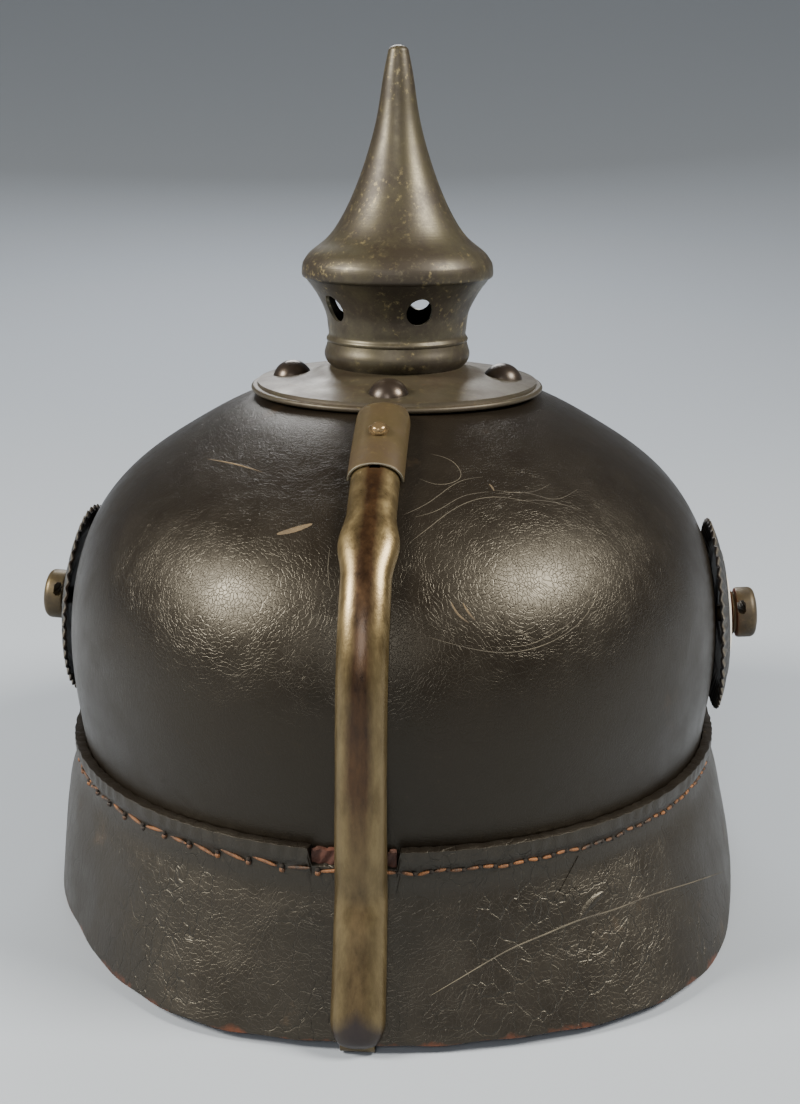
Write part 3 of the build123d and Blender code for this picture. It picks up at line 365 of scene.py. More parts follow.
# %% Leather finishes
def leather_finish(name, dark, rubbed, crackle, crackle_depth, rubbed_share, net=None, net_depth=0.0,
                   speckle=0.0, creases=0.0, gloss=(0.30, 0.42), shine=0.34, bare_edge=False):
    """Lacquered leather; crackle and net are cells to a metre, and the depths are in millimetres."""
    finish, tree, surface, where = new_finish(name)
    bent = wandering(tree, where)
    patches = stretch_range(tree, cloud(tree, where, 24.0, detail=3.0), 0.36, 0.56)
    grooves = stretch_range(tree, cracks(tree, bent, crackle), 0.0, 0.10)
    pores = cloud(tree, where, crackle * 0.8, detail=5.0, roughness=0.7)
    worn = cloud(tree, where, 46.0, detail=8.0, roughness=0.7)
    worn = stretch_range(tree, worn, 1 - rubbed_share, 1.08 - rubbed_share)
    colour = colour_mix(tree, maths(tree, "MULTIPLY", worn, 0.75), dark, rubbed)
    if speckle:
        colour = speckled(tree, where, patches, speckle, colour)
    if bare_edge:
        colour = bare_below(tree, where, colour)
    skin = bump(tree, maths(tree, "ADD", grooves, maths(tree, "MULTIPLY", pores, 1.1)), crackle_depth)
    if creases:
        slanted = stretched(tree, bent, scale=(1.0, 0.8, 0.28))
        skin = bump(tree, cloud(tree, slanted, 560.0, detail=4.0, roughness=0.6), creases, 1.0, skin)
    if net:
        upright = stretched(tree, bent, scale=(1.0, 1.0, 0.42))
        lines = stretch_range(tree, cracks(tree, upright, net), 0.0, 0.035)
        crack = maths(tree, "MULTIPLY", maths(tree, "SUBTRACT", 1.0, lines), patches)
        colour = colour_mix(tree, maths(tree, "MULTIPLY", crack, 0.75), colour, CRACK_COLOUR)
        skin = bump(tree, maths(tree, "MULTIPLY", crack, -1.0), net_depth, 0.8, skin)
    plug(tree, surface.inputs["Base Color"], colour)
    plug(tree, surface.inputs["Normal"], bump(tree, cloud(tree, where, 60.0, detail=2.0), 0.4, 0.30, skin))
    plug(tree, surface.inputs["Roughness"],
         stretch_range(tree, cloud(tree, where, 90.0, detail=6.0), 0.3, 0.7, *gloss))
    surface.inputs["Specular IOR Level"].default_value = shine
    surface.inputs["Specular Tint"].default_value = LACQUER_TINT
    return finish


shell_leather = leather_finish("shell_leather", (0.0075, 0.0056, 0.0038), (0.026, 0.017, 0.009), 950.0, 0.024,
                               0.36, speckle=0.06)
visor_leather = leather_finish("visor_leather", (0.0085, 0.0066, 0.005), (0.036, 0.024, 0.014), 760.0, 0.028,
                               0.38, net=230.0, net_depth=0.10, speckle=0.30, creases=0.11,
                               gloss=(0.34, 0.48), shine=0.5, bare_edge=True)


def raw_leather_finish(name, light, dark, scale=500.0):
    """Undyed leather: a warm brown with fine pores and darker clouds."""
    finish, tree, surface, where = new_finish(name)
    clouds = stretch_range(tree, cloud(tree, where, 70.0, detail=8.0, roughness=0.65), 0.35, 0.68)
    colour = colour_mix(tree, clouds, dark, light)
    pores = cloud(tree, where, scale * 4, detail=4.0)
    creases = stretch_range(tree, cracks(tree, where, scale), 0.0, 0.12)
    plug(tree, surface.inputs["Base Color"], colour)
    plug(tree, surface.inputs["Normal"], bump(tree, creases, 0.05, 0.6, bump(tree, pores, 0.08, 0.6)))
    surface.inputs["Roughness"].default_value = 0.72
    return finish


edge_leather = raw_leather_finish("edge_leather", (0.085, 0.026, 0.012), (0.018, 0.010, 0.007))
seam_leather = raw_leather_finish("seam_leather", (0.075, 0.019, 0.008), (0.020, 0.008, 0.005), 900.0)
scuffed = raw_leather_finish("scuffed_leather", (0.115, 0.078, 0.034), (0.030, 0.021, 0.012), 1500.0)
scratched = raw_leather_finish("scratched_lacquer", (0.11, 0.095, 0.065), (0.03, 0.025, 0.018), 1500.0)
lining_leather = raw_leather_finish("lining_leather", (0.30, 0.17, 0.085), (0.13, 0.065, 0.032))
print("leather finishes:", shell_leather.name, visor_leather.name, edge_leather.name, lining_leather.name)

# %% [markdown]
# ### Greyed steel
# The fittings are steel with a grey-green field finish. It has worn to bare, brighter metal on
# edges, gone brown where it was handled, and rusted in specks. Turned pieces also carry fine rings
# from the lathe, made by a cloud squeezed flat along Z.


# %% Metal finishes
def steel_finish(name, grey, brown, brown_share, roughness=0.42, rings=0.0, specks=0.3, metal=0.75, lime=0.0):
    finish, tree, surface, where = new_finish(name)
    tone = cloud(tree, where, 70.0, detail=9.0, roughness=0.72)
    browned = stretch_range(tree, tone, 0.78 - brown_share, 1.0 - brown_share)
    colour = colour_mix(tree, browned, grey, brown)
    pale = tuple(min(1.0, channel * 1.7) for channel in grey)
    rub = stretch_range(tree, cloud(tree, where, 420.0, detail=8.0, roughness=0.75), 0.56, 0.72)
    colour = colour_mix(tree, maths(tree, "MULTIPLY", rub, 0.5), colour, pale)
    rust = stretch_range(tree, cloud(tree, where, 700.0, detail=5.0, roughness=0.6), 0.66, 0.72)
    patch = stretch_range(tree, cloud(tree, where, 85.0, detail=3.0), 0.5, 0.62)
    rust = maths(tree, "MULTIPLY", maths(tree, "MULTIPLY", rust, patch), specks, clamp=True)
    colour = colour_mix(tree, rust, colour, (0.10, 0.045, 0.018))
    if lime:
        crumbs = stretch_range(tree, cloud(tree, where, 520.0, detail=7.0, roughness=0.7), 0.56, 0.66)
        shifted = stretched(tree, where, move=(0.3, 0.1, 0.2))
        beds = stretch_range(tree, cloud(tree, shifted, 60.0), 0.46, 0.60)
        crumbs = maths(tree, "MULTIPLY", maths(tree, "MULTIPLY", crumbs, beds), lime, clamp=True)
        colour = colour_mix(tree, crumbs, colour, (0.22, 0.18, 0.085))
    plug(tree, surface.inputs["Base Color"], colour)
    plug(tree, surface.inputs["Metallic"], stretch_range(tree, browned, 0.0, 1.0, metal, metal * 0.55))
    plug(tree, surface.inputs["Roughness"],
         stretch_range(tree, tone, 0.3, 0.7, roughness - 0.08, roughness + 0.14))
    normal = bump(tree, cloud(tree, where, 1500.0, detail=4.0), 0.03, 0.5)
    if rings:
        lathe = cloud(tree, stretched(tree, where, scale=(6.0, 6.0, 2600.0)), 1.0, detail=3.0)
        normal = bump(tree, lathe, 0.03, rings, normal)
    plug(tree, surface.inputs["Normal"], normal)
    return finish


spike_steel = steel_finish("spike_steel", (0.064, 0.056, 0.034), (0.022, 0.016, 0.009), 0.44, rings=0.55,
                           metal=0.55, lime=0.7)
plate_steel = steel_finish("plate_steel", (0.056, 0.048, 0.031), (0.030, 0.021, 0.012), 0.38, rings=0.3,
                           specks=0.8, metal=0.55, lime=0.3)
slide_steel = steel_finish("slide_steel", (0.100, 0.075, 0.036), (0.055, 0.037, 0.019), 0.38, roughness=0.38,
                           metal=0.6)
trim_steel = steel_finish("trim_steel", (0.15, 0.14, 0.11), (0.07, 0.052, 0.035), 0.32)
bright_edge = steel_finish("bright_edge", (0.42, 0.39, 0.30), (0.20, 0.17, 0.12), 0.2, roughness=0.3,
                           metal=0.9)
stud_steel = steel_finish("stud_steel", (0.045, 0.034, 0.026), (0.022, 0.015, 0.011), 0.42, roughness=0.30,
                          specks=0.8)
post_metal = steel_finish("post_metal", (0.10, 0.076, 0.038), (0.042, 0.032, 0.019), 0.42, roughness=0.45,
                          specks=0.5)
knob_metal = steel_finish("knob_metal", (0.20, 0.14, 0.07), (0.10, 0.065, 0.035), 0.35, roughness=0.24,
                          specks=0.3)
inner_steel = steel_finish("inner_steel", (0.10, 0.09, 0.075), (0.05, 0.038, 0.026), 0.45, specks=0.6)
print("metal finishes:", len([m for m in bpy.data.materials if m.name.endswith(("steel", "metal", "edge"))]))

# %% [markdown]
# ## The shell
# The skull of the helmet is one pressed piece of leather, an oval dome 186 mm wide and 214 mm long.
# One outline gives both: turned round the axis it makes a round dome, and each ring is then
# stretched fore and aft. Boiled leather is never quite true, so slow waves move the surface by a
# few tenths of a millimetre.

# %% The shell's outline
HALF_WIDTH, HALF_LENGTH, SHELL_WALL = 93.0, 107.0, 2.8
BELT, RISE, SHELL_EDGE = 68.0, 71.3, 34.0
CROWN_SHARES = [(0.441, 0.953), (0.645, 0.819), (0.806, 0.672), (0.903, 0.526), (0.973, 0.312), (1.0, 0.0)]
TUCK_SHARES = [(0.985, 0.5), (0.968, 1.0)]
EAR_HEIGHT = 37.0
stretch = HALF_LENGTH / HALF_WIDTH


def shell_line(inset=0.0, count=240):
    """The dome's side as (radius, height), from the crown down to the edge."""
    width, rise = HALF_WIDTH - inset, RISE - inset
    points = [(0.0, BELT + rise)] + [(width * across, BELT + rise * up) for across, up in CROWN_SHARES]
    points += [(width * across, BELT - (BELT - SHELL_EDGE) * down) for across, down in TUCK_SHARES]
    return smooth_line(points, count, start=(1, 0), end=(-0.06, -1))


outer_line = shell_line()


def shell_half_width(z):
    return np.interp(z, outer_line[::-1, 1], outer_line[::-1, 0])


print("shell half width at the ears:", round(float(shell_half_width(EAR_HEIGHT)), 2), "mm")


# %% The shell itself
CROWN_HOLE, HEM_DROP, HEM_INSET = 14.0, 0.6, 0.5
SHELL_STEPS, SHELL_DENTS, DENTS_TOP, DENTS_FADE = 220, 0.22, 135.0, 25.0


def dents(x, y, z, size):
    """Slow waves, the same at every run, that take the machine-made look off a surface."""
    broad = np.sin(x / 23 + 1.3) * np.sin(y / 31 + 0.4) * np.cos(z / 27)
    return size * (broad + 0.5 * np.sin(x / 11 - y / 13 + z / 17))


inner = shell_line(SHELL_WALL)[::-1]
inner = inner[inner[:, 0] > CROWN_HOLE]
outer = outer_line[outer_line[:, 0] > CROWN_HOLE]
hem_z = SHELL_EDGE - HEM_DROP
hem = [(outer[-1, 0] - HEM_INSET, hem_z), (inner[0, 0] + HEM_INSET, hem_z)]
shell = turned("leather_shell", np.vstack([outer, hem, inner]), steps=SHELL_STEPS, squash=stretch)
for vertex in shell.data.vertices:
    x, y, z = vertex.co / MM
    y -= AXIS_Y
    fade = min(1.0, max(0.0, (DENTS_TOP - z) / DENTS_FADE))
    vertex.co += Vector((x, y, 0)).normalized() * float(dents(x, y, z, SHELL_DENTS)) * fade * MM
tidy_mesh(shell)
smooth_shading(shell)
shell.data.materials.append(shell_leather)
print("shell:", len(shell.data.polygons), "faces")

# %% Two plain holes in the front
BADGE_SPACING, BADGE_HEIGHT, BADGE_HOLE, BADGE_REACH, BADGE_ROD = 88.0, 78.0, 2.2, 90.0, 60.0
rods = bmesh.new()
for side in (-1, 1):
    spot = Matrix.Translation(Vector((side * BADGE_SPACING / 2, AXIS_Y - BADGE_REACH, BADGE_HEIGHT)) * MM)
    add_rod(rods, BADGE_HOLE, BADGE_ROD, spot @ Matrix.Rotation(math.pi / 2, 4, "X"), sides=32)
drill_holes(shell, rods)
smooth_shading(shell)
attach(shell, "helmet")
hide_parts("shell")
print("shell with its front holes:", len(shell.data.polygons), "faces")

# %% [markdown]
# ## The two visors
# Each visor is a sheet of leather with a flange that hugs the shell and a skirt that flares out.
# A sheet follows a rule: at each height it is an oval, and its top and bottom edges are lines in
# the side view. So a grid runs from ear to ear and from the flange down to the cut edge, and
# Solidify then gives the leather its 2.6 mm. The rim takes the raw red-brown of a cut edge. The
# rear visor's flange is notched for the spine, and years of wear have let its skirt sag.

# %% The rule for a visor
VISOR_WALL, SEAM, FLANGE, EAR_DROP = 2.6, 42.0, 5.0, 5.0
SHELL_GAP, RUN_ON, EDGE_HEIGHT, FIRST_GUESS = 0.2, 5.0, 1.1, 10.0
FLARE_SHARES = [(0.15, 0.28, 0.12), (0.38, 0.62, 0.34), (0.66, 0.86, 0.64), (1.0, 1.0, 1.0)]


class Visor:
    """Outer face of a visor: side is 1 at the back and -1 at the front."""

    def __init__(self, side, half_width, reach, ear, edge_shares, edge_lift):
        self.side, self.ear, self.edge_lift = side, ear, edge_lift
        low = SEAM - EAR_DROP
        points = []
        for z in (SEAM + FLANGE + RUN_ON, SEAM + FLANGE, (SEAM + low) / 2, low):
            share = shell_half_width(z) / HALF_WIDTH
            points.append((HALF_WIDTH * share + SHELL_GAP + VISOR_WALL,
                           HALF_LENGTH * share + SHELL_GAP + VISOR_WALL, z))
        seam = points[-1]
        for down, at_ear, at_end in FLARE_SHARES:
            points.append((seam[0] + (half_width - seam[0]) * at_ear, seam[1] + (reach - seam[1]) * at_end,
                           low - (low - EDGE_HEIGHT) * down))
        last = np.array(points[-1]) - np.array(points[-2])
        points.append(tuple(np.array(points[-1]) + last / np.linalg.norm(last) * RUN_ON))
        self.skin = smooth_line(points, 300)
        edge = [(ear + (reach - ear) * along, low - (low - EDGE_HEIGHT) * down)
                for along, down in edge_shares]
        self.edge = smooth_line(edge, 200, start=(0.15, -1), end=(1, 0))

    def ovals(self, z):
        """Half width and half length of the oval at a height."""
        falling = self.skin[::-1]
        return np.interp(z, falling[:, 2], falling[:, 0]), np.interp(z, falling[:, 2], falling[:, 1])

    def place(self, across, z, out=0.0):
        """Places on the face: across runs from -1 to 1, ear to ear; out lifts them off the face."""
        width, length = self.ovals(z)
        turn = across * np.arccos(self.ear / length)
        x, y = width * np.sin(turn), length * np.cos(turn)
        if np.any(out):
            step = 0.5
            width_up, length_up = self.ovals(z + step)
            slope_at_ear, slope_at_end = (width_up - width) / step, (length_up - length) / step
            slope = np.sin(turn) ** 2 * slope_at_ear + np.cos(turn) ** 2 * slope_at_end
            normal = np.stack([x / width ** 2, y / length ** 2, 0 * x], -1)
            normal /= np.linalg.norm(normal, axis=-1, keepdims=True)
            normal[..., 2] = -slope
            normal /= np.linalg.norm(normal, axis=-1, keepdims=True)
            lift = np.asarray(out)[..., None] * normal
            x, y, z = x + lift[..., 0], y + lift[..., 1], z + lift[..., 2]
        return np.stack([x, self.side * y, z + 0 * x], -1)

    def reach_at(self, across, z):
        """How far fore or aft of the axis the face is."""
        length = self.ovals(z)[1]
        return length * np.cos(across * np.arccos(self.ear / length))

    def low_edge(self, across):
        """Height of the cut edge, found in rounds, because reach and height depend on each other."""
        z = np.full_like(across, FIRST_GUESS)
        for _ in range(30):
            z = 0.5 * z + 0.5 * np.interp(self.reach_at(across, z), self.edge[:, 0], self.edge[:, 1])
        return np.maximum(z, EDGE_HEIGHT) + self.edge_lift

    def seam_line(self, across, below=0.0):
        """Height of the seam, which drops from the ends of the oval to the ears."""
        z = np.full_like(across, SEAM)
        for _ in range(6):
            share = np.clip(np.abs(self.reach_at(across, z)) / HALF_LENGTH, 0, 1)
            z = SEAM - EAR_DROP * (1 - share) - below
        return z


SKIRT_HALF_WIDTH, REAR_REACH, FRONT_REACH, REAR_EAR, FRONT_EAR = 99.0, 117.0, 135.0, -6.0, 14.0
REAR_EDGE_SHARES = [(0.0, 0.30), (0.10, 0.66), (0.30, 0.93), (0.52, 1.0)]
FRONT_EDGE_SHARES = [(0.0, 0.28), (0.15, 0.52), (0.45, 0.80), (0.75, 0.95), (1.08, 1.0)]
rear = Visor(1, SKIRT_HALF_WIDTH, REAR_REACH, REAR_EAR, REAR_EDGE_SHARES, edge_lift=0.6)
front = Visor(-1, SKIRT_HALF_WIDTH, FRONT_REACH, FRONT_EAR, FRONT_EDGE_SHARES, edge_lift=1.45)
rear_end = rear.reach_at(np.array([0.0]), np.array([EDGE_HEIGHT]))
print("rear skirt reaches", round(float(rear_end[0]), 1), "mm back")

# %% The form of the worn sheet
SEAM_DROP, GROOVE, WELT, PUCKER = 0.6, 0.55, 0.25, 0.13
EDGE_WAVE, SKIRT_DENTS, CALM_BELOW_SEAM = 0.35, 0.5, 14.0


def seam_relief(across, z, seam):
    """The groove that the thread pulls in, the welt above it and the puckers of the flange."""
    groove = -GROOVE * np.exp(-((z - seam) / 1.1) ** 2)
    welt = WELT * np.exp(-((z - seam - 3.0) / 1.6) ** 2)
    flange = np.clip((z - seam - 1.5) / 1.5, 0, 1)
    pucker = PUCKER * np.sin(across * 190 + 2.5 * np.sin(across * 31 + z * 0.2))
    return groove + welt + flange * pucker


def sagged(visor, across, z, share, sags):
    """Outward moves of a sagged skirt; each sag is (middle, spread, push), and share grows downwards."""
    width, length = visor.ovals(z)
    flat = visor.place(across, z)
    plan = np.stack([flat[..., 0] / width ** 2, flat[..., 1] / length ** 2], -1)
    plan /= np.linalg.norm(plan, axis=-1, keepdims=True)
    bulge = sum(push * np.exp(-((across - middle) / spread) ** 2) for middle, spread, push in sags)
    return (bulge * share ** 1.4)[..., None] * plan


# %% Make the visors
VISOR_ROWS, RAW_EDGE_DROP = 46, 9.0
NOTCH, NOTCH_LIFT = (-8.4, 12.2), 0.2
SAGS = [(-0.52, 0.27, 9.5), (0.30, 0.16, 4.0)]


def visor_piece(name, visor, columns, notch=None, sags=()):
    """One visor; notch is the stretch from x to x that has no flange."""
    across = np.linspace(-1, 1, columns)
    top = visor.seam_line(across, below=-FLANGE)
    if notch:
        x = visor.place(across, top)[:, 0]
        top = np.where((x > notch[0]) & (x < notch[1]), SEAM + NOTCH_LIFT, top)
    low = visor.low_edge(across) + EDGE_WAVE * (1 + np.sin(across * 41) * np.sin(across * 17 + 1))
    z = top + (low - top) * np.linspace(0, 1, VISOR_ROWS)[:, None]
    seam = visor.seam_line(across, below=SEAM_DROP)
    flat = visor.place(across, z)
    ripple = dents(flat[..., 0], flat[..., 1] * 1.7, z, SKIRT_DENTS)
    ripple = ripple * np.clip((seam - z) / CALM_BELOW_SEAM, 0, 1)
    places = visor.place(across, z, out=seam_relief(across, z, seam) + ripple)
    if sags:
        places[..., :2] += sagged(visor, across, z, np.clip((seam - z) / (seam - low), 0, 1), sags)
    sheet = grid_object(name, places)
    sheet.data.materials.append(visor_leather)
    sheet.data.materials.append(edge_leather)
    give_wall(sheet, VISOR_WALL, visor.side, rim_slot=1)
    soften_edges(sheet, 0.5, 60)
    bake_modifiers(sheet)
    tidy_mesh(sheet)
    for face in sheet.data.polygons:
        if face.material_index == 1 and face.center.z > (SEAM - RAW_EDGE_DROP) * MM:
            face.material_index = 0
    smooth_shading(sheet, 50)
    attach(sheet, "helmet")
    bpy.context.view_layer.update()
    return sheet


rear_guard = visor_piece("leather_rear_visor", rear, 420, notch=NOTCH, sags=SAGS)
front_peak = visor_piece("leather_front_visor", front, 360)
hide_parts("rear_visor")
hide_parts("front_visor")

# %% [markdown]
# ## Stitches
# Waxed thread holds each visor to the shell, one stitch after another along the seam. That is a
# repeat along a path, so Geometry Nodes make it: the path is resampled at the stitch length, and a
# small bead turned along the path stands at each place. The same tree with other sizes lays dark
# beads of painted shade for the needle holes between the stitches, and makes the knots under the
# long stitches at the rear left.

# %% A tree that sews along a path
BEAD_SEGMENTS, BEAD_RINGS, TILT_RANGE, TILT_SEED = 8, 6, 0.16, 7


def sewing_tree():
    tree = bpy.data.node_groups.new("sew_along_path", "GeometryNodeTree")
    tree.interface.new_socket("Path", in_out="INPUT", socket_type="NodeSocketGeometry")
    for name in ("Pitch", "Stitch Length", "Thread"):
        tree.interface.new_socket(name, in_out="INPUT", socket_type="NodeSocketFloat")
    tree.interface.new_socket("Finish", in_out="INPUT", socket_type="NodeSocketMaterial")
    tree.interface.new_socket("Stitches", in_out="OUTPUT", socket_type="NodeSocketGeometry")
    given = tree.nodes.new("NodeGroupInput").outputs
    done = tree.nodes.new("NodeGroupOutput").inputs
    line = add(tree, "GeometryNodeMeshToCurve", Mesh=given["Path"])
    dots = add(tree, "GeometryNodeCurveToPoints", {"mode": "LENGTH"}, Curve=line.outputs[0],
               Length=given["Pitch"])
    bead = add(tree, "GeometryNodeMeshUVSphere", Segments=BEAD_SEGMENTS, Rings=BEAD_RINGS, Radius=0.5)
    size = add(tree, "ShaderNodeCombineXYZ", X=given["Thread"], Y=given["Thread"], Z=given["Stitch Length"])
    uneven = tree.nodes.new("FunctionNodeRandomValue")
    uneven.data_type = "FLOAT_VECTOR"
    uneven.inputs[0].default_value = (-TILT_RANGE, -TILT_RANGE, 0.0)
    uneven.inputs[1].default_value = (TILT_RANGE, TILT_RANGE, 0.0)
    uneven.inputs["Seed"].default_value = TILT_SEED
    sewn = add(tree, "GeometryNodeInstanceOnPoints", Points=dots.outputs["Points"],
               Instance=bead.outputs["Mesh"], Rotation=dots.outputs["Rotation"], Scale=size.outputs[0])
    tilted = add(tree, "GeometryNodeRotateInstances", Instances=sewn.outputs[0])
    plug(tree, tilted.inputs["Rotation"], uneven.outputs[0])
    real = add(tree, "GeometryNodeRealizeInstances", Geometry=tilted.outputs[0])
    dyed = add(tree, "GeometryNodeSetMaterial", Geometry=real.outputs[0], Material=given["Finish"])
    tree.links.new(dyed.outputs[0], done[0])
    return tree


sew = sewing_tree()


def sewn_piece(name, path, pitch, length, thread, finish):
    """Stitches along a path of places, as one mesh."""
    thing = mesh_object(name, path, [], [(i, i + 1) for i in range(len(path) - 1)])
    nodes = thing.modifiers.new("sew", "NODES")
    nodes.node_group = sew
    sizes = {"Pitch": pitch * MM, "Stitch Length": length * MM, "Thread": thread * MM, "Finish": finish}
    for item in sew.interface.items_tree:
        if item.in_out == "INPUT" and item.name in sizes:
            nodes[item.identifier] = sizes[item.name]
    bake_modifiers(thing)
    smooth_shading(thing, 180)
    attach(thing, "helmet")
    print(name, len(thing.data.polygons) // (BEAD_SEGMENTS * BEAD_RINGS), "stitches")


# %% Thread the seams
THREAD_DIRTY, THREAD_CLEAN = (0.016, 0.010, 0.007), (0.21, 0.082, 0.024)
# Colours of painted shade: the dark beads stand in for the shadowed insides of the needle holes.
HOLE_SHADE_DEEP, HOLE_SHADE_RIM = (0.002, 0.0015, 0.001), (0.018, 0.010, 0.006)


def thread_finish():
    finish, tree, surface, where = new_finish("waxed_thread")
    grime = stretch_range(tree, cloud(tree, where, 160.0, detail=5.0), 0.36, 0.60)
    plug(tree, surface.inputs["Base Color"], colour_mix(tree, grime, THREAD_DIRTY, THREAD_CLEAN))
    twist = add(tree, "ShaderNodeTexWave", Vector=where, Scale=900.0, Distortion=2.0).outputs["Fac"]
    plug(tree, surface.inputs["Normal"], bump(tree, twist, 0.08, 0.8))
    surface.inputs["Roughness"].default_value = 0.6
    return finish


# Painted shade for the needle holes: near-black beads in place of real recesses.
def hole_shade_finish():
    finish, tree, surface, where = new_finish("painted_hole_shade")
    plug(tree, surface.inputs["Base Color"], colour_mix(tree, cloud(tree, where, 900.0), HOLE_SHADE_DEEP, HOLE_SHADE_RIM))
    surface.inputs["Roughness"].default_value = 0.9
    return finish


thread, painted_hole_shade = thread_finish(), hole_shade_finish()
THREAD_WIDTH, THREAD_SINK, HOLE_LENGTH, HOLE_WIDTH = 0.95, 0.3, 1.3, 1.2
KNOT_SIZE, KNOT_DROP, KNOT_SINK, SEAM_STEPS = 1.5, 0.9, 0.25, 400
SEAMS = [("rear_left", rear, 0.045, 0.985, 8.4, 7.4), ("rear_right", rear, -0.045, -0.985, 3.9, 3.3),
         ("front", front, -0.985, 0.985, 4.6, 3.6)]
for name, visor, begin, end, pitch, length in SEAMS:
    along = np.linspace(begin, end, SEAM_STEPS)
    uneven = 0.25 * np.sin(along * 90) + 0.2 * np.sin(along * 37 + 1)
    sewn_z = visor.seam_line(along, below=SEAM_DROP) + uneven
    line = visor.place(along, sewn_z, out=np.full(SEAM_STEPS, -THREAD_SINK))
    sewn_piece(name + "_stitches", line, pitch, length, THREAD_WIDTH, thread)
    # Dark beads of painted shade, half a stitch along, stand for the needle holes.
    half_pitch = int(pitch / 2 / np.linalg.norm(np.diff(line, axis=0), axis=1).mean())
    sewn_piece(name + "_painted_hole_shades", line[half_pitch:], pitch, HOLE_LENGTH, HOLE_WIDTH, painted_hole_shade)
    if name == "rear_left":
        knots = visor.place(along, sewn_z - KNOT_DROP, out=np.full(SEAM_STEPS, -KNOT_SINK))
        sewn_piece("rear_left_knots", knots[half_pitch:], pitch, KNOT_SIZE, KNOT_SIZE, thread)

# %% [markdown]
# ### Leather in the notch
# Where the rear flange is notched for the spine, the brown leather of the seam shows on both sides
# of it. Two small patches lie there, a little below the visor's face, with an uneven surface.

# %% Lay the leather in the notch
PATCH_RISE, PATCH_DROP, PATCH_SINK, PATCH_WALL = 0.8, 2.2, 1.25, 1.3
for name, low_x, high_x in (("seam_leather_left", 6.2, 12.1), ("seam_leather_right", -8.3, -6.2)):
    x = np.linspace(low_x, high_x, 14)
    z = np.linspace(SEAM + FLANGE - PATCH_RISE, SEAM - PATCH_DROP, 12)[:, None]
    across = np.arcsin(x / rear.ovals(z)[0]) / np.arccos(rear.ear / rear.ovals(z)[1])
    out = -PATCH_SINK + 0.22 * np.sin(x * 2.1 + z * 1.3)
    patch = grid_object(name, rear.place(across, z + 0 * across, out=out))
    give_wall(patch, PATCH_WALL, 1.0)
    patch.data.materials.append(seam_leather)
    bake_modifiers(patch)
    tidy_mesh(patch)
    smooth_shading(patch, 50)
    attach(patch, "helmet")
    print(name, len(patch.data.polygons), "faces")

# %% [markdown]
# ## The folded trim of the front visor
# A thin strip of steel is folded over the front visor's cut edge. Its section is a narrow U, and
# it follows the edge, so it is a grid again: one row for each corner of the U, one column for each
# step along the edge.

# %% The trim
TRIM_WALL, TRIM_DEPTH, TRIM_GAP, TRIM_EAR_GAP, TRIM_STEPS = 0.8, 3.6, 0.3, 9.0, 260
along = np.linspace(-1, 1, TRIM_STEPS)
inside_ears = along[front.place(along, front.low_edge(along))[:, 1] < -FRONT_EAR - TRIM_EAR_GAP]
along = np.linspace(inside_ears[0], inside_ears[-1], TRIM_STEPS)
low = front.low_edge(along)
outer_leg, inner_leg = TRIM_GAP + TRIM_WALL, -VISOR_WALL - TRIM_GAP - TRIM_WALL
middle = (outer_leg + inner_leg) / 2
hem_top, half_wall = TRIM_DEPTH + 0.15, TRIM_WALL / 2
u_section = [(outer_leg - TRIM_WALL, TRIM_DEPTH), (outer_leg - half_wall, hem_top), (outer_leg, TRIM_DEPTH)]
u_section += [(outer_leg, 0.6), (outer_leg * 0.75, -0.35), (middle * 0.3, -0.85), (middle, -1.05),
              (middle * 1.7, -0.85), (inner_leg * 0.97, -0.35), (inner_leg, 0.6)]
u_section += [(inner_leg, TRIM_DEPTH), (inner_leg + half_wall, hem_top), (inner_leg + TRIM_WALL, TRIM_DEPTH)]
u_section += [(inner_leg + TRIM_WALL, 0.3), (middle, -0.25), (outer_leg - TRIM_WALL, 0.3)]
rows = [front.place(along, low + up, out=np.full(TRIM_STEPS, out)) for out, up in u_section + u_section[:1]]
trim = grid_object("front_edge_trim", np.array(rows))
tidy_mesh(trim)
close_ends(trim)
smooth_shading(trim, 50)
trim.data.materials.append(trim_steel)
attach(trim, "helmet")
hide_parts("front_visor_trim")
print("trim:", len(trim.data.polygons), "faces")

# %% [markdown]
# ## Base plate and spike
# These pieces were spun or turned on a lathe, so each is one outline turned round the axis. The
# outline follows the solids' measures: the plate's rolled rim and raised foot, the neck's bead,
# ridge and flare, and the cone's long hollow curve up to its blunt tip.

# %% Outlines of the turned pieces
PLATE_RADIUS, PLATE_WALL = 41.3, 0.9
FOOT_RADIUS, FOOT_TOP_RADIUS, LEDGE_RADIUS = 24.0, 18.3, 15.4
FOOT_RISE, FOOT_HEIGHT, NECK_GAP, CONE_GAP, SPIKE_WALL = 2.0, 2.6, 0.3, 0.05, 1.0
foot_plane = rim_plane + FOOT_RISE
foot_top = foot_plane + FOOT_HEIGHT
neck_bottom = foot_top + NECK_GAP
NECK_HEIGHT, BRIM_HEIGHT, CONE_HEIGHT, TIP_HEIGHT = 24.6, 4.2, 57.4, 1.7
BRIM_RADIUS, BEAD_RADIUS, WAIST_RADIUS, NECK_BOTTOM_RADIUS, TIP_RADIUS = 26.7, 20.5, 19.4, 18.4, 2.8
RIDGE_SHARE, BEAD_SHARE = 0.30, 0.155
NECK_FLARE_SHARES = [(0.42, 0.0), (0.57, 0.07), (0.70, 0.25), (0.84, 0.54), (1.0, 1.0)]
CONE_SHARES = [(0.035, 0.945), (0.10, 0.755), (0.21, 0.545), (0.369, 0.359), (0.52, 0.229), (0.70, 0.117),
               (0.86, 0.055)]


def arc_between(middle, radii, start, stop, count):
    """Places on an oval arc between two angles in degrees."""
    angles = np.radians(np.linspace(start, stop, count))
    return [(middle[0] + radii[0] * math.cos(a), middle[1] + radii[1] * math.sin(a)) for a in angles]


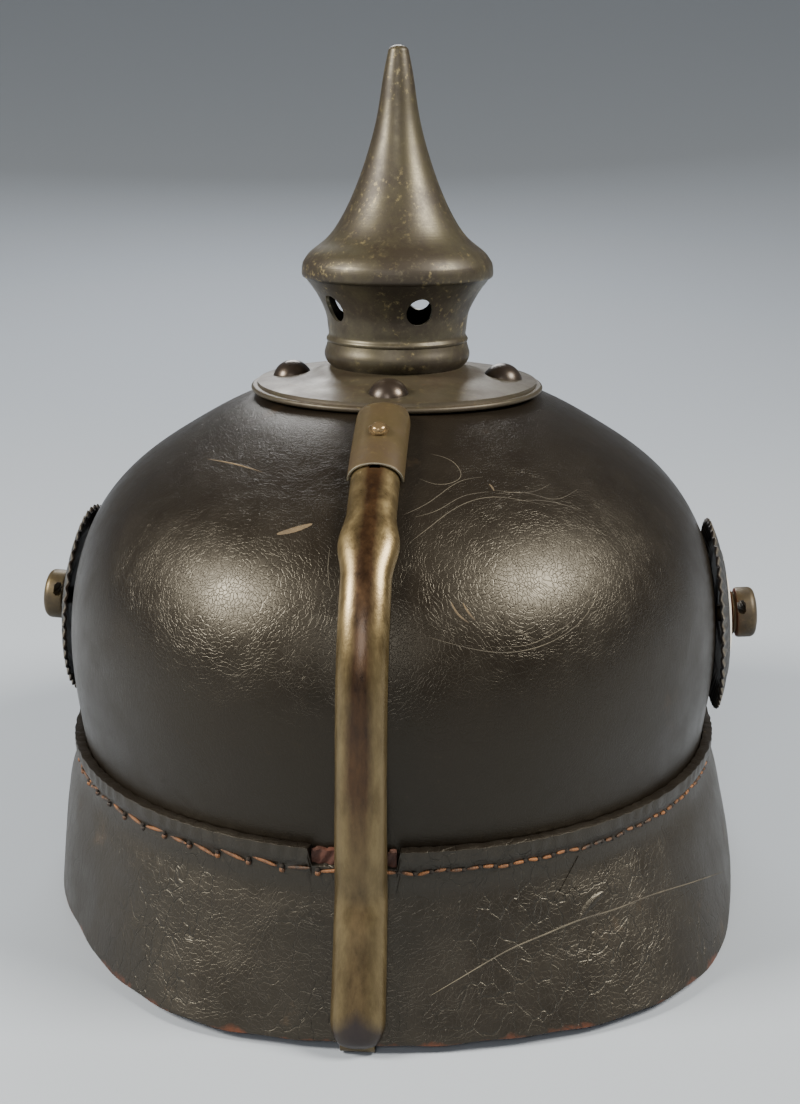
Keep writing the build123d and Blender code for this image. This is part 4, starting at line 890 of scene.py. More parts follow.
def inwards(line, wall):
    """The line moved to its left by a wall, backwards, to close a hollow outline."""
    along = np.gradient(np.array(line, float), axis=0)
    along /= np.linalg.norm(along, axis=1, keepdims=True)
    return (np.array(line) + np.stack([-along[:, 1], along[:, 0]], 1) * wall)[::-1]


def metal_piece(name, outline, finish, body, node, steps=160):
    piece = turned(name, outline, steps=steps)
    tidy_mesh(piece)
    smooth_shading(piece, 38)
    piece.data.materials.append(finish)
    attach(piece, body)
    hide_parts(node)
    print(name, len(piece.data.polygons), "faces")
    return piece


# %% The plate
slope = smooth_line([(PLATE_RADIUS - PLATE_BEAD, rim_plane), (33.0, rim_plane + 1.0),
                     (27.0, rim_plane + 1.75), (FOOT_RADIUS, foot_plane + 0.25), (20.6, foot_plane + 1.45),
                     (FOOT_TOP_RADIUS, foot_top - 0.35), (FOOT_TOP_RADIUS - 0.6, foot_top)], 60)
half_bead = PLATE_BEAD / 2
rolled = arc_between((PLATE_RADIUS - half_bead, rim_plane - half_bead), (half_bead, half_bead), -150, 100, 16)
ledge = [(LEDGE_RADIUS, foot_top), (LEDGE_RADIUS, foot_top - PLATE_WALL)]
plate_outline = np.vstack([rolled, slope[1:], ledge, inwards(slope, -PLATE_WALL)[1:-1]])
metal_piece("spun_base_plate", plate_outline, plate_steel, "helmet", "base_plate")

# %% The neck
ridge_z, bead_z = neck_bottom + NECK_HEIGHT * RIDGE_SHARE, neck_bottom + NECK_HEIGHT * BEAD_SHARE
bead = smooth_line([(NECK_BOTTOM_RADIUS, neck_bottom), (BEAD_RADIUS - 0.6, bead_z - 2.2),
                    (BEAD_RADIUS, bead_z), (BEAD_RADIUS - 0.5, bead_z + 1.9),
                    (WAIST_RADIUS + 0.25, ridge_z - 0.3)], 30)
ridge = [(WAIST_RADIUS + 0.45, ridge_z), (WAIST_RADIUS + 0.55, ridge_z + 0.5),
         (WAIST_RADIUS + 0.1, ridge_z + 1.2)]
flare_width = BRIM_RADIUS - 1.05 - WAIST_RADIUS
flare = smooth_line(ridge + [(WAIST_RADIUS + flare_width * out, neck_bottom + NECK_HEIGHT * up)
                             for up, out in NECK_FLARE_SHARES], 60)
neck_side = np.vstack([bead, flare])
neck = metal_piece("spun_neck", np.vstack([neck_side, inwards(neck_side, SPIKE_WALL)]), spike_steel, "spike",
                   "spike_neck")

# %% The cone
brim_z = neck_bottom + NECK_HEIGHT + CONE_GAP
brim_top, tip = brim_z + BRIM_HEIGHT, brim_z + BRIM_HEIGHT + CONE_HEIGHT
brim_edge = (BRIM_RADIUS - 0.35, brim_top)
cone_width = brim_edge[0] - TIP_RADIUS
cone_side = [(TIP_RADIUS + cone_width * out, brim_top + CONE_HEIGHT * up) for up, out in CONE_SHARES]
rise = smooth_line([brim_edge, *cone_side, (TIP_RADIUS, tip - TIP_HEIGHT)], 90)
roll = smooth_line([(BRIM_RADIUS - 0.9, brim_z), (BRIM_RADIUS - 0.2, brim_z + 0.5),
                    (BRIM_RADIUS, brim_z + 1.7), (BRIM_RADIUS - 0.12, brim_z + 3.2), brim_edge], 16)
point = arc_between((0.0, tip - TIP_HEIGHT), (TIP_RADIUS, TIP_HEIGHT), 0, 90, 10)
hollow = inwards(rise[2:56], SPIKE_WALL)
cone_outline = np.vstack([roll, rise[1:], point[1:], [(0.0, hollow[0, 1] + 3.0)], hollow,
                          [(BRIM_RADIUS - 1.2, brim_z + 0.3)]])
metal_piece("spun_cone", cone_outline, spike_steel, "spike", "spike_cone")

# %% [markdown]
# ### Air holes
# Five round holes in the neck let air in. Each is cut with a boolean from a rod, and the walls of
# the holes take a second, brighter steel, because punched edges wear to bare metal.

# %% Cut the air holes
VENT_COUNT, VENT_RADIUS, VENT_TURN, VENT_SHARE, VENT_ROD = 5, 3.65, 111.0, 0.70, 20.0
rods = bmesh.new()
for index in range(VENT_COUNT):
    angle = math.radians(VENT_TURN + 360 / VENT_COUNT * index)
    spot = Vector((math.cos(angle) * VENT_ROD, math.sin(angle) * VENT_ROD + AXIS_Y,
                   neck_bottom + NECK_HEIGHT * VENT_SHARE)) * MM
    add_rod(rods, VENT_RADIUS, VENT_ROD,
            Matrix.Translation(spot) @ Matrix.Rotation(angle, 4, "Z") @ Matrix.Rotation(math.pi / 2, 4, "Y"))
drill_holes(neck, rods, edge_finish=bright_edge)
smooth_shading(neck, 38)
print("air holes cut:", VENT_COUNT, "neck faces:", len(neck.data.polygons))

# %% [markdown]
# ## The rear spine
# A steel spine runs down the back from the plate to under the rear visor's edge. Its upper part is
# a true arc, because the vent cover slides on it. There it is a flat strip with the vent hole, and
# further down a half-round channel that follows the shell, lifts over the visor's flange and ends
# in a rounded foot with a hook. The channel is a half-round section carried along that line.

# %% The spine's line
SPINE_WIDTH, SPINE_HEIGHT, SPINE_WALL = 12.0, 4.8, 0.8
SHOULDER_WIDTH, END_WIDTH, SHOULDER_AT = 14.6, 13.2, 9.0
SLIDE_LENGTH, SLIDE_TRAVEL, KNOB_AT = 30.0, 12.0, 17.0
PLATE_GAP, ARC_GAP, SHELL_LIFT, SKIRT_LIFT, SPINE_END = 0.8, 0.2, 0.4, 0.6, 1.4
SHELL_PART_SHARES = (0.48, 0.30, 0.0)
SKIRT_PART_SHARES = (1.0, 0.86, 0.72, 0.58, 0.44, 0.30, 0.16)
joints = {joint["name"]: joint for joint in frame["joints"]}
pivot = Vector(joints["vent_cover_slide"]["pos_m"]) / MM
ARC_MIDDLE = np.array([pivot.y - AXIS_Y, pivot.z])
slide_zone = SLIDE_LENGTH + SLIDE_TRAVEL
start_y = PLATE_RADIUS + PLATE_GAP
stations = np.linspace(0, 0.93, 9) * slide_zone + start_y
heights = np.interp(stations / stretch, outer_line[:, 0], outer_line[:, 1])
ARC_RADIUS = float(np.max(np.hypot(stations - ARC_MIDDLE[0], heights - ARC_MIDDLE[1]))) + ARC_GAP
START_ANGLE = math.acos((start_y - ARC_MIDDLE[0]) / ARC_RADIUS)


def arc_place(distance, lift=0.0):
    """Place and outward direction (y, z) at distances down the arc from the spine's start."""
    angle = START_ANGLE - np.asarray(distance, float) / ARC_RADIUS
    out = np.stack([np.cos(angle), np.sin(angle)], -1)
    return ARC_MIDDLE + out * (ARC_RADIUS + lift), out


def on_arc(distance, lift=0.0):
    """Matrix that stands a piece made round Z on the arc, square to it."""
    place, out = arc_place(distance, lift)
    lean = Matrix.Rotation(math.atan2(out[1], out[0]) - math.pi / 2, 4, "X")
    return Matrix.Translation(Vector((0, place[0] + AXIS_Y, place[1])) * MM) @ lean


arc_points, _ = arc_place(np.linspace(0, slide_zone, 44))
below = []
for share in SHELL_PART_SHARES:
    z = BELT + RISE * share
    away = np.array([float(shell_half_width(z)) * stretch, z - BELT])
    below.append(np.array([0, BELT]) + away * (1 + SHELL_LIFT / np.linalg.norm(away)))
for z in [SEAM * share for share in SKIRT_PART_SHARES] + [SPINE_END]:
    below.append(np.array([float(rear.ovals(z)[1]) + SKIRT_LIFT, z]))
lower = smooth_line([arc_points[-1]] + below, 150, start=arc_points[-1] - arc_points[-2],
                    end=below[-1] - below[-2])
print("arc radius", round(ARC_RADIUS, 1), "mm; spine ends at z =", round(float(lower[-1, 1]), 1), "mm")


# %% Half-round sections along a line
SECTION_STEPS, SECTION_FULLNESS = 25, 0.85


def half_round_piece(name, line, widths, heights, wall, body):
    """Thin half-round skin along a line in the middle plane; widths and heights are given at each place."""
    along = np.gradient(line, axis=0)
    along /= np.linalg.norm(along, axis=1, keepdims=True)
    out = np.stack([-along[:, 1], along[:, 0]], 1)
    out *= np.sign(out[len(out) // 2, 0])
    grid = []
    for inset in (0.0, wall):
        half = widths / 2 - inset
        tall = np.maximum(heights - inset, 0.05)
        rows = []
        for share in np.linspace(-1, 1, SECTION_STEPS)[::1 if inset == 0 else -1]:
            angle = share * math.pi / 2
            up = tall * math.cos(angle) ** SECTION_FULLNESS
            rows.append(np.column_stack([half * math.sin(angle), line + out * up[:, None]]))
        grid += rows
    grid.append(grid[0])
    piece = grid_object(name, np.array(grid))
    tidy_mesh(piece)
    close_ends(piece)
    smooth_shading(piece, 45)
    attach(piece, body)
    return piece


# %% Make the channel
RAIL_START, ROUND_END = 17, 7.0
line = np.vstack([arc_points[RAIL_START:-1], lower])
distance = np.concatenate(([0.0], np.cumsum(np.linalg.norm(np.diff(line, axis=0), axis=1))))
total = distance[-1]
zone_end = distance[len(arc_points) - 1 - RAIL_START]
from_zone = distance - zone_end
shoulder = np.clip(1 - np.abs(from_zone - SHOULDER_AT) / SHOULDER_AT, 0, 1)
widths = SPINE_WIDTH + (END_WIDTH - SPINE_WIDTH) * np.clip(from_zone / (total - zone_end) * 2 - 1, 0, 1)
widths = widths + (SHOULDER_WIDTH - SPINE_WIDTH) * shoulder ** 2 * (3 - 2 * shoulder)
to_end = total - distance
shrink = np.where(to_end < ROUND_END, np.sqrt(np.clip(1 - (1 - to_end / ROUND_END) ** 2, 0, 1)), 1.0)
spine = half_round_piece("rear_spine_rail", line, widths * (0.35 + 0.65 * shrink),
                         SPINE_HEIGHT * (0.2 + 0.8 * shrink), SPINE_WALL, "helmet")
print("channel:", round(float(total), 1), "mm long")

# %% The strip above the channel, with its vent hole
STRIP_WIDTH, STRIP_LENGTH, STRIP_CORNER, STRIP_STEPS = 11.2, 20.6, 0.2, 30
VENT_AT, VENT_HOLE = 6.8, 2.5
edge, corner_z = STRIP_WIDTH / 2, SPINE_WALL - STRIP_CORNER
strip_corners = [(-edge, 0.0), (-edge, corner_z), (-edge + STRIP_CORNER, SPINE_WALL), (0.0, SPINE_WALL),
                 (edge - STRIP_CORNER, SPINE_WALL), (edge, corner_z), (edge, 0.0), (0.0, 0.0)]


def arc_bar(name, corners, begin, end, steps):
    """A bar along the arc; its section's corners are given as (across, lift)."""
    at = np.linspace(begin, end, steps)
    grid = [np.column_stack([np.full(steps, x), arc_place(at, lift)[0]]) for x, lift in corners + corners[:1]]
    bar = grid_object(name, np.array(grid))
    tidy_mesh(bar)
    close_ends(bar)
    return bar


def vent_rod():
    rods = bmesh.new()
    add_rod(rods, VENT_HOLE, VENT_ROD, on_arc(VENT_AT))
    return rods


strip = arc_bar("spine_vent_strip", strip_corners, 0.0, STRIP_LENGTH, STRIP_STEPS)
drill_holes(strip, vent_rod())
drill_holes(shell, vent_rod())
smooth_shading(strip, 45)
smooth_shading(shell)
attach(strip, "helmet")
strip.data.materials.append(slide_steel)
print("vent strip:", len(strip.data.polygons), "faces")

# %% The slot in which the cover's knob runs
SLOT_HALF, SLOT_LOW, SLOT_HIGH, SLOT_STEPS = 1.3, 2.0, 7.0, 24
slot_corners = [(-SLOT_HALF, SLOT_LOW), (-SLOT_HALF, SLOT_HIGH), (SLOT_HALF, SLOT_HIGH),
                (SLOT_HALF, SLOT_LOW)]
slot_bar = arc_bar("slot_bar", slot_corners, KNOB_AT - SLOT_HALF, KNOB_AT + SLIDE_TRAVEL + SLOT_HALF,
                   SLOT_STEPS)
slot = bmesh.new()
slot.from_mesh(slot_bar.data)
bpy.data.objects.remove(slot_bar)
drill_holes(spine, slot)
smooth_shading(spine, 45)
print("slotted channel:", len(spine.data.polygons), "faces")

# %% [markdown]
# ### The spine's finish
# Hands have worn the spine olive and bright, and a brown stripe is left down its middle in the
# upper half. The foot is darker, in a cool tone. All three follow from the place on the spine, so
# the recipe reads X for the stripe and Z for the height, and clouds make the borders uneven.

# %% Finish the spine
OLIVE_DARK, OLIVE_LIGHT = (0.095, 0.068, 0.030), (0.165, 0.125, 0.060)
BROWN_DARK, BROWN_LIGHT, FOOT_COLOUR = (0.018, 0.008, 0.003), (0.055, 0.027, 0.009), (0.022, 0.018, 0.022)


def spine_finish():
    finish, tree, surface, where = new_finish("spine_steel")
    axis = add(tree, "ShaderNodeSeparateXYZ", Vector=where).outputs
    wobble = cloud(tree, stretched(tree, where, scale=(1.0, 1.0, 0.4)), 70.0, detail=7.0, roughness=0.65)
    wobble = maths(tree, "MULTIPLY", maths(tree, "SUBTRACT", wobble, 0.5), 0.0042)
    aside = maths(tree, "ADD", maths(tree, "ABSOLUTE", axis["X"]), wobble)
    upper = stretch_range(tree, axis["Z"], 0.048, 0.064)
    stripe = maths(tree, "MULTIPLY", stretch_range(tree, aside, 0.0014, 0.0034, 1.0, 0.0),
                   stretch_range(tree, upper, 0.0, 1.0, 0.45, 1.0))
    tone = cloud(tree, stretched(tree, where, scale=(1, 1, 0.35)), 260.0, detail=8.0, roughness=0.7)
    steel = colour_mix(tree, stretch_range(tree, tone, 0.38, 0.68), OLIVE_DARK, OLIVE_LIGHT)
    brown = colour_mix(tree, stretch_range(tree, tone, 0.35, 0.65), BROWN_DARK, BROWN_LIGHT)
    height = maths(tree, "ADD", axis["Z"], maths(tree, "MULTIPLY", aside, 0.8))
    # Darker and cooler towards the bottom of the spine.
    foot = stretch_range(tree, height, 0.0095, 0.0135, 1.0, 0.0)
    colour = colour_mix(tree, maths(tree, "MULTIPLY", foot, 0.85), colour_mix(tree, stripe, steel, brown),
                        FOOT_COLOUR)
    plug(tree, surface.inputs["Base Color"], colour)
    plug(tree, surface.inputs["Metallic"], stretch_range(tree, stripe, 0.0, 1.0, 0.72, 0.55))
    plug(tree, surface.inputs["Roughness"], stretch_range(tree, tone, 0.3, 0.7, 0.26, 0.42))
    plug(tree, surface.inputs["Normal"], bump(tree, cloud(tree, where, 1300.0, detail=5.0), 0.05, 0.6))
    surface.inputs["Coat Weight"].default_value = 0.12
    surface.inputs["Coat Roughness"].default_value = 0.2
    return finish


spine.data.materials.append(spine_finish())
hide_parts("rear_spine")
print("spine finished:", spine.data.materials[0].name)

# %% The hook at the foot
HOOK_WIDTH, HOOK_WALL, HOOK_RETURN, HOOK_GAP = 8.2, 0.8, 6.0, 0.2
outer_face = float(rear.ovals(EDGE_HEIGHT)[1]) + HOOK_GAP
inner_face = float(rear.ovals(HOOK_RETURN)[1]) - VISOR_WALL - HOOK_GAP * 3
half_wall = HOOK_WALL / 2
bend = [(outer_face + half_wall, HOOK_RETURN), (outer_face + half_wall, 1.3), (outer_face - 0.1, 0.65),
        (outer_face - 1.0, 0.5), (inner_face + 0.6, 0.5), (inner_face - 0.3, 0.8),
        (inner_face - half_wall, 1.5), (inner_face - half_wall, HOOK_RETURN)]
across = np.linspace(-HOOK_WIDTH / 2, HOOK_WIDTH / 2, 7)
hook = grid_object("spine_hook", np.array([[(x, y, z) for x in across] for y, z in smooth_line(bend, 60)]))
give_wall(hook, HOOK_WALL, 0.0)
soften_edges(hook, 0.12, 50)
bake_modifiers(hook)
tidy_mesh(hook)
smooth_shading(hook)
hook.data.materials.append(slide_steel)
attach(hook, "helmet")
print("hook:", len(hook.data.polygons), "faces")

# %% [markdown]
# ## The sliding vent cover
# The cover is a wider half-round shell on the top of the spine. Its upper end is rounded over like
# a thimble, and its lower edge is a shallow arch whose lip has worn bright. The sheet is a grid
# between a curved start and a curved end, given its wall by Solidify. A small turned knob moves it.

# %% Make the cover
COVER_WALL, COVER_GAP, NOSE, ARCH = 0.7, 0.3, 6.0, 0.3
COVER_COLUMNS, COVER_ROWS = 33, 60
cover_half = SPINE_WIDTH / 2 + COVER_GAP + COVER_WALL
cover_height = SPINE_HEIGHT + COVER_GAP + COVER_WALL
grid = np.zeros((COVER_ROWS, COVER_COLUMNS, 3))
for column, share in enumerate(np.linspace(-1, 1, COVER_COLUMNS)):
    angle = share * math.pi / 2
    aside = math.sin(angle)
    begin = NOSE * (1 - math.sqrt(max(0.0, 1 - aside ** 2))) * 0.95
    at = np.linspace(begin, SLIDE_LENGTH - ARCH * (1 - aside ** 2), COVER_ROWS)
    closed = np.clip((at + 0.4) / NOSE, 0, 1)
    tall = cover_height * np.sqrt(1 - (1 - closed) ** 2 * 0.92) * math.cos(angle) ** SECTION_FULLNESS
    places, out = arc_place(at)
    grid[:, column] = np.column_stack([np.full(COVER_ROWS, cover_half * aside), places + out * tall[:, None]])
cover = grid_object("sliding_vent_cover", grid)
cover.data.materials.append(slide_steel)
cover.data.materials.append(bright_edge)
give_wall(cover, COVER_WALL, 1.0, rim_slot=1)
soften_edges(cover, 0.18, 55)
bake_modifiers(cover)
tidy_mesh(cover)
smooth_shading(cover, 50)
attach(cover, "vent_cover")
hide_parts("vent_slide")
print("vent cover:", len(cover.data.polygons), "faces")

# %% Turn the knob
KNOB_SHANK, KNOB_DEPTH, KNOB_TOP = 1.0, 5.0, 1.9
knob_outline = [(0.0, -KNOB_DEPTH), (KNOB_SHANK, -KNOB_DEPTH), (KNOB_SHANK, 0.0), (2.45, 0.0), (2.55, 0.25),
                (2.5, 0.6), (2.2, 0.75), (1.95, 0.7), (KNOB_TOP, 0.95)]
knob_outline += arc_between((0.0, 0.95), (KNOB_TOP, 1.0), 0, 90, 9)[1:]
knob = turned("cover_knob", knob_outline, steps=48)
knob.data.transform(on_arc(KNOB_AT, cover_height) @ Matrix.Translation((0, -AXIS_Y * MM, 0)))
tidy_mesh(knob)
smooth_shading(knob, 50)
knob.data.materials.append(knob_metal)
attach(knob, "vent_cover")
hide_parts("vent_knob")
print("knob:", len(knob.data.polygons), "faces")

# %% [markdown]
# ## Studs and hidden pieces
# Four domed studs hold the base plate to the shell. Their solids already have the right shape, so
# they keep it and only take a finish, as do the small pieces inside the shell.

# %% Finish the pieces that keep their solids
KEPT = [(stud_steel, ("base_stud_left", "base_stud_rear", "base_stud_right", "base_stud_front",
                      "spine_prongs")),
        (inner_steel, ("bayonet_collar", "vent_slide_keeper", "post_nuts")),
        (lining_leather, ("stud_washers", "post_washers", "spine_washer"))]
for finish, names in KEPT:
    for name in names:
        node = frame["nodes"][name]
        node.data.materials.clear()
        node.data.materials.append(finish)
print("kept solids:", sum(len(names) for _, names in KEPT))

# %% [markdown]
# ## Cockades and strap posts
# A painted steel disc lies on each side, dished towards the shell, with a toothed rim and raised
# rings. A slotted post with a thick head holds it and takes the chin strap. The disc is a grid of
# rings whose radius and height swing with the teeth. Its paint is a matter of how far a place is
# from the disc's middle, so the recipe works out that distance and needs no picture.

# %% Where the discs stand
COCKADE_RADIUS, COCKADE_WALL, COCKADE_DISH, COCKADE_HOLE, TEETH = 28.0, 0.8, 5.0, 2.8, 48
RED_EDGE, WHITE_EDGE = 12.0, 19.0
STAND_OFF, TILT, COCKADE_Z = 3.6, math.radians(4.0), 73.0


def on_side(side):
    """Matrix that stands a piece made round Z on one side of the shell."""
    out = Vector((side * math.cos(TILT), 0, math.sin(TILT)))
    foot = Vector((side * float(shell_half_width(COCKADE_Z)), 0, COCKADE_Z)) + out * STAND_OFF
    first = Vector((0, side, 0))
    turn = Matrix((first, out.cross(first), out)).transposed().to_4x4()
    return Matrix.Translation((foot + Vector((0, AXIS_Y, 0))) * MM) @ turn


print("disc middles at x =", [round(on_side(side).translation.x / MM, 1) for side in (-1, 1)], "mm")


# %% Paint for the discs
BLACK, RED, WHITE, BARE = (0.012, 0.012, 0.012), (0.30, 0.025, 0.018), (0.62, 0.60, 0.54), (0.13, 0.115, 0.09)
RAGGED, RING_BLUR, RIM_WORN_FROM, RIM_WORN_TO = 0.8, 0.15, 25.8, 27.2


def paint_finish(name, side, middle_colour):
    """Rings of paint round the post, white and then black outside the middle one, chipped to steel."""
    finish, tree, surface, where = new_finish(name)
    middle = on_side(side).translation
    local = stretched(tree, where, move=(0, -middle.y, -middle.z))
    axis = add(tree, "ShaderNodeSeparateXYZ", Vector=local).outputs
    squares = [maths(tree, "MULTIPLY", axis[letter], axis[letter]) for letter in "YZ"]
    away = maths(tree, "SQRT", maths(tree, "ADD", *squares))
    uneven = maths(tree, "SUBTRACT", cloud(tree, where, 500.0), 0.5)
    away = maths(tree, "ADD", away, maths(tree, "MULTIPLY", uneven, RAGGED * MM))
    colour = middle_colour
    for edge, after in ((RED_EDGE, WHITE), (WHITE_EDGE, BLACK)):
        past = stretch_range(tree, away, edge * MM, (edge + RING_BLUR) * MM)
        colour = colour_mix(tree, past, colour, after)
    chips = stretch_range(tree, cloud(tree, where, 260.0, detail=9.0, roughness=0.75), 0.60, 0.65)
    rim = stretch_range(tree, away, RIM_WORN_FROM * MM, RIM_WORN_TO * MM)
    chips = maths(tree, "MAXIMUM", chips, maths(tree, "MULTIPLY", rim, 0.8))
    plug(tree, surface.inputs["Base Color"], colour_mix(tree, chips, colour, BARE))
    plug(tree, surface.inputs["Metallic"], maths(tree, "MULTIPLY", chips, 0.7))
    plug(tree, surface.inputs["Roughness"],
         stretch_range(tree, cloud(tree, where, 300.0), 0.3, 0.7, 0.38, 0.62))
    plug(tree, surface.inputs["Normal"], bump(tree, cloud(tree, where, 1200.0), 0.04, 0.6))
    return finish


disc_back = steel_finish("disc_back", (0.020, 0.019, 0.019), (0.035, 0.022, 0.014), 0.36, roughness=0.4,
                         metal=0.3)

# %% Make the discs
RING_HEIGHT, RAY_HEIGHT, TOOTH_DEPTH, TOOTH_SHARE, STEPS_PER_TOOTH = 0.35, 0.28, 0.55, 0.955, 6
RAISED_RINGS = ((WHITE_EDGE, 0.7), (RED_EDGE, 0.6))


def cockade(name, side, finish):
    radii = np.concatenate([np.linspace(COCKADE_HOLE, 8.2, 4), np.linspace(9.0, 18.5, 10),
                            np.linspace(19.2, COCKADE_RADIUS, 14)])
    columns = TEETH * STEPS_PER_TOOTH
    turn = np.linspace(0, 2 * np.pi, columns, endpoint=False)
    grid = np.zeros((len(radii), columns, 3))
    for row, radius in enumerate(radii):
        share = radius / COCKADE_RADIUS
        rings = sum(math.exp(-((radius - edge) / width) ** 2) for edge, width in RAISED_RINGS)
        rays = np.clip((radius - 20.0) / 3.0, 0, 1) * RAY_HEIGHT * np.cos(turn * TEETH)
        depth = TOOTH_DEPTH * max(0.0, share - TOOTH_SHARE) / (1 - TOOTH_SHARE)
        toothed = radius - depth * (1 - np.cos(turn * TEETH))
        z = COCKADE_WALL - COCKADE_DISH * share ** 2.1 + RING_HEIGHT * rings + rays
        grid[row] = np.column_stack([toothed * np.cos(turn), toothed * np.sin(turn) - AXIS_Y, z])
    disc = grid_object(name, grid, closed=True)
    disc.data.materials.append(finish)
    disc.data.materials.append(disc_back)
    give_wall(disc, COCKADE_WALL, -1.0, back_slot=1, rim_slot=1)
    soften_edges(disc, 0.15, 60, segments=1)
    bake_modifiers(disc)
    tidy_mesh(disc)
    disc.data.transform(on_side(side))
    smooth_shading(disc, 40)
    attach(disc, "helmet")
    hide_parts(name.replace("painted_", ""))
    print(name, len(disc.data.polygons), "faces")


cockade("painted_cockade_right", -1, paint_finish("cockade_paint_right", -1, RED))
cockade("painted_cockade_left", 1, paint_finish("cockade_paint_left", 1, BLACK))

# %% The strap posts
POST_RADIUS, POST_LENGTH, POST_SHANK, POST_GAP, SHANK_END = 7.3, 7.25, 2.5, 0.45, -13.9
EYE_SIZE, EYE_BELOW, EYE_UP, EYE_ROUND = (30.0, 3.6, 2.4), 3.4, 2.6, 0.5


def strap_post(name, side):
    """Turned post with a thick head, and a slot cut across the head for the strap's lug."""
    seat = COCKADE_WALL + POST_GAP
    top = seat + POST_LENGTH
    outline = [(0.0, top), (4.6, top), (5.6, top - 0.3)] + arc_between((5.5, top - 2.1), (1.8, 1.8), 85, 0, 8)
    outline += [(POST_RADIUS, seat + 2.0), (POST_RADIUS - 0.2, seat + 1.5), (POST_RADIUS - 1.3, seat + 1.1),
                (POST_RADIUS - 1.2, seat + 0.6), (POST_RADIUS - 0.6, seat + 0.2), (POST_RADIUS - 0.9, seat),
                (POST_SHANK, seat), (POST_SHANK, SHANK_END + 0.4), (POST_SHANK - 0.4, SHANK_END),
                (0.0, SHANK_END)]
    post = turned(name, outline, steps=56)
    post.data.transform(Matrix.Translation((0, -AXIS_Y * MM, 0)))
    tidy_mesh(post)
    eye = bmesh.new()
    bmesh.ops.create_cube(eye, size=1.0, matrix=Matrix.Translation(Vector((0, EYE_BELOW, seat + EYE_UP)) * MM)
                          @ Matrix.Diagonal((*(size * MM for size in EYE_SIZE), 1)))
    bmesh.ops.bevel(eye, geom=eye.edges, offset=EYE_ROUND * MM, segments=3, affect="EDGES")
    drill_holes(post, eye)
    post.data.materials.append(post_metal)
    post.data.transform(on_side(side))
    smooth_shading(post, 40)
    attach(post, "helmet")
    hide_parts(name.replace("slotted_", ""))
    print(name, len(post.data.polygons), "faces")


strap_post("slotted_strap_post_right", -1)
strap_post("slotted_strap_post_left", 1)

# %% [markdown]
# ## Scratches and scuffs
# The lacquer carries fine curved scratches beside the spine and a long one across the rear visor.
# Each is drawn as points of the photograph. A ray from the camera through each point finds the
# leather, and a low ridge a few tenths of a millimetre wide is laid along the places found, so the
# mark sits on the leather from every side.

# %% Draw the marks
MARK_SINK, MARK_STEPS = 0.02, 9


def surface_of(thing):
    mesh = thing.data
    corners = [vertex.co.copy() for vertex in mesh.vertices]
    return BVHTree.FromPolygons(corners, [tuple(face.vertices) for face in mesh.polygons])


def seen_at(tree, pixel):
    """Place and direction of the surface under a point of the photograph."""
    across = (pixel[0] - PHOTO_SIZE[0] / 2) / FOCAL_PIXELS
    up = (PHOTO_SIZE[1] / 2 - pixel[1]) / FOCAL_PIXELS
    aim = camera.matrix_world.to_3x3() @ Vector((across, up, -1))
    return tree.ray_cast(camera.matrix_world.translation, aim.normalized())[:2]


def marks(name, thing, lines, finish, height=0.05):
    """Low ridges along lines of photograph points; each line is (width in mm, points)."""
    tree = surface_of(thing)
    section = ((-1, -MARK_SINK), (-0.3, height), (0.3, height), (1, -MARK_SINK))
    corners = len(section)
    points, faces = [], []
    for width, line in lines:
        route = smooth_line(line, max(12, len(line) * MARK_STEPS))
        found = [seen_at(tree, pixel) for pixel in route]
        found = [(place, out) for place, out in found if place is not None]
        first = len(points)
        for i, (place, out) in enumerate(found):
            ahead = found[min(i + 1, len(found) - 1)][0] - found[max(i - 1, 0)][0]
            aside = ahead.cross(out).normalized()
            thin = math.sin(math.pi * (i + 0.6) / (len(found) + 0.2)) ** 0.5
            half = width / 2 * thin * MM
            for across, lift in section:
                points.append(place + aside * half * across + out * lift * MM)
        last = first + (len(found) - 1) * corners
        for row in range(first, last, corners):
            for c in range(corners):
                a, b = row + c, row + (c + 1) % corners
                faces.append((a, b, b + corners, a + corners))
        faces.append(tuple(range(first, first + corners)))
        faces.append(tuple(range(last, last + corners)))
    mesh = bpy.data.meshes.new(name)
    mesh.from_pydata(points, [], faces)
    piece = in_scene(name, mesh)
    tidy_mesh(piece)
    smooth_shading(piece, 60)
    mesh.materials.append(finish)
    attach(piece, "helmet")
    print(name, len(lines), "lines")


SHELL_SCRATCHES = [
    (0.22, [(403, 515), (431, 501), (461, 481), (483, 477)]),
    (0.22, [(415, 517), (438, 510), (461, 497), (489, 492)]),
    (0.26, [(409, 543), (431, 526), (454, 509), (492, 497), (515, 499), (545, 505)]),
    (0.22, [(495, 494), (532, 494), (556, 499), (578, 489)]),
    (0.20, [(495, 490), (538, 490), (550, 484)]),
    (0.22, [(513, 501), (547, 501), (582, 511)]),
    (0.20, [(418, 478), (446, 484), (461, 475), (458, 467), (431, 454)]),
    (0.24, [(428, 637), (464, 647), (492, 652), (522, 651), (553, 641), (581, 621), (597, 593), (600, 567)]),
    (0.22, [(499, 646), (522, 646), (547, 637), (576, 617), (590, 593), (594, 570)]),
    (0.20, [(486, 617), (513, 630), (538, 640)]),
    (0.24, [(330, 548), (328, 566), (330, 590)]),
]
marks("shell_scratches", shell, SHELL_SCRATCHES, scratched, height=0.03)
SHELL_SCUFFS = [
    (0.55, [(208, 459), (235, 464), (262, 472)]),
    (2.0, [(277, 534), (293, 530), (312, 524)]),
    (0.6, [(451, 602), (458, 614), (469, 623)]),
    (0.6, [(463, 603), (469, 613), (475, 620)]),
    (0.7, [(489, 484), (492, 487), (494, 491)]),
]
marks("shell_scuffs", shell, SHELL_SCUFFS, scuffed, height=0.04)
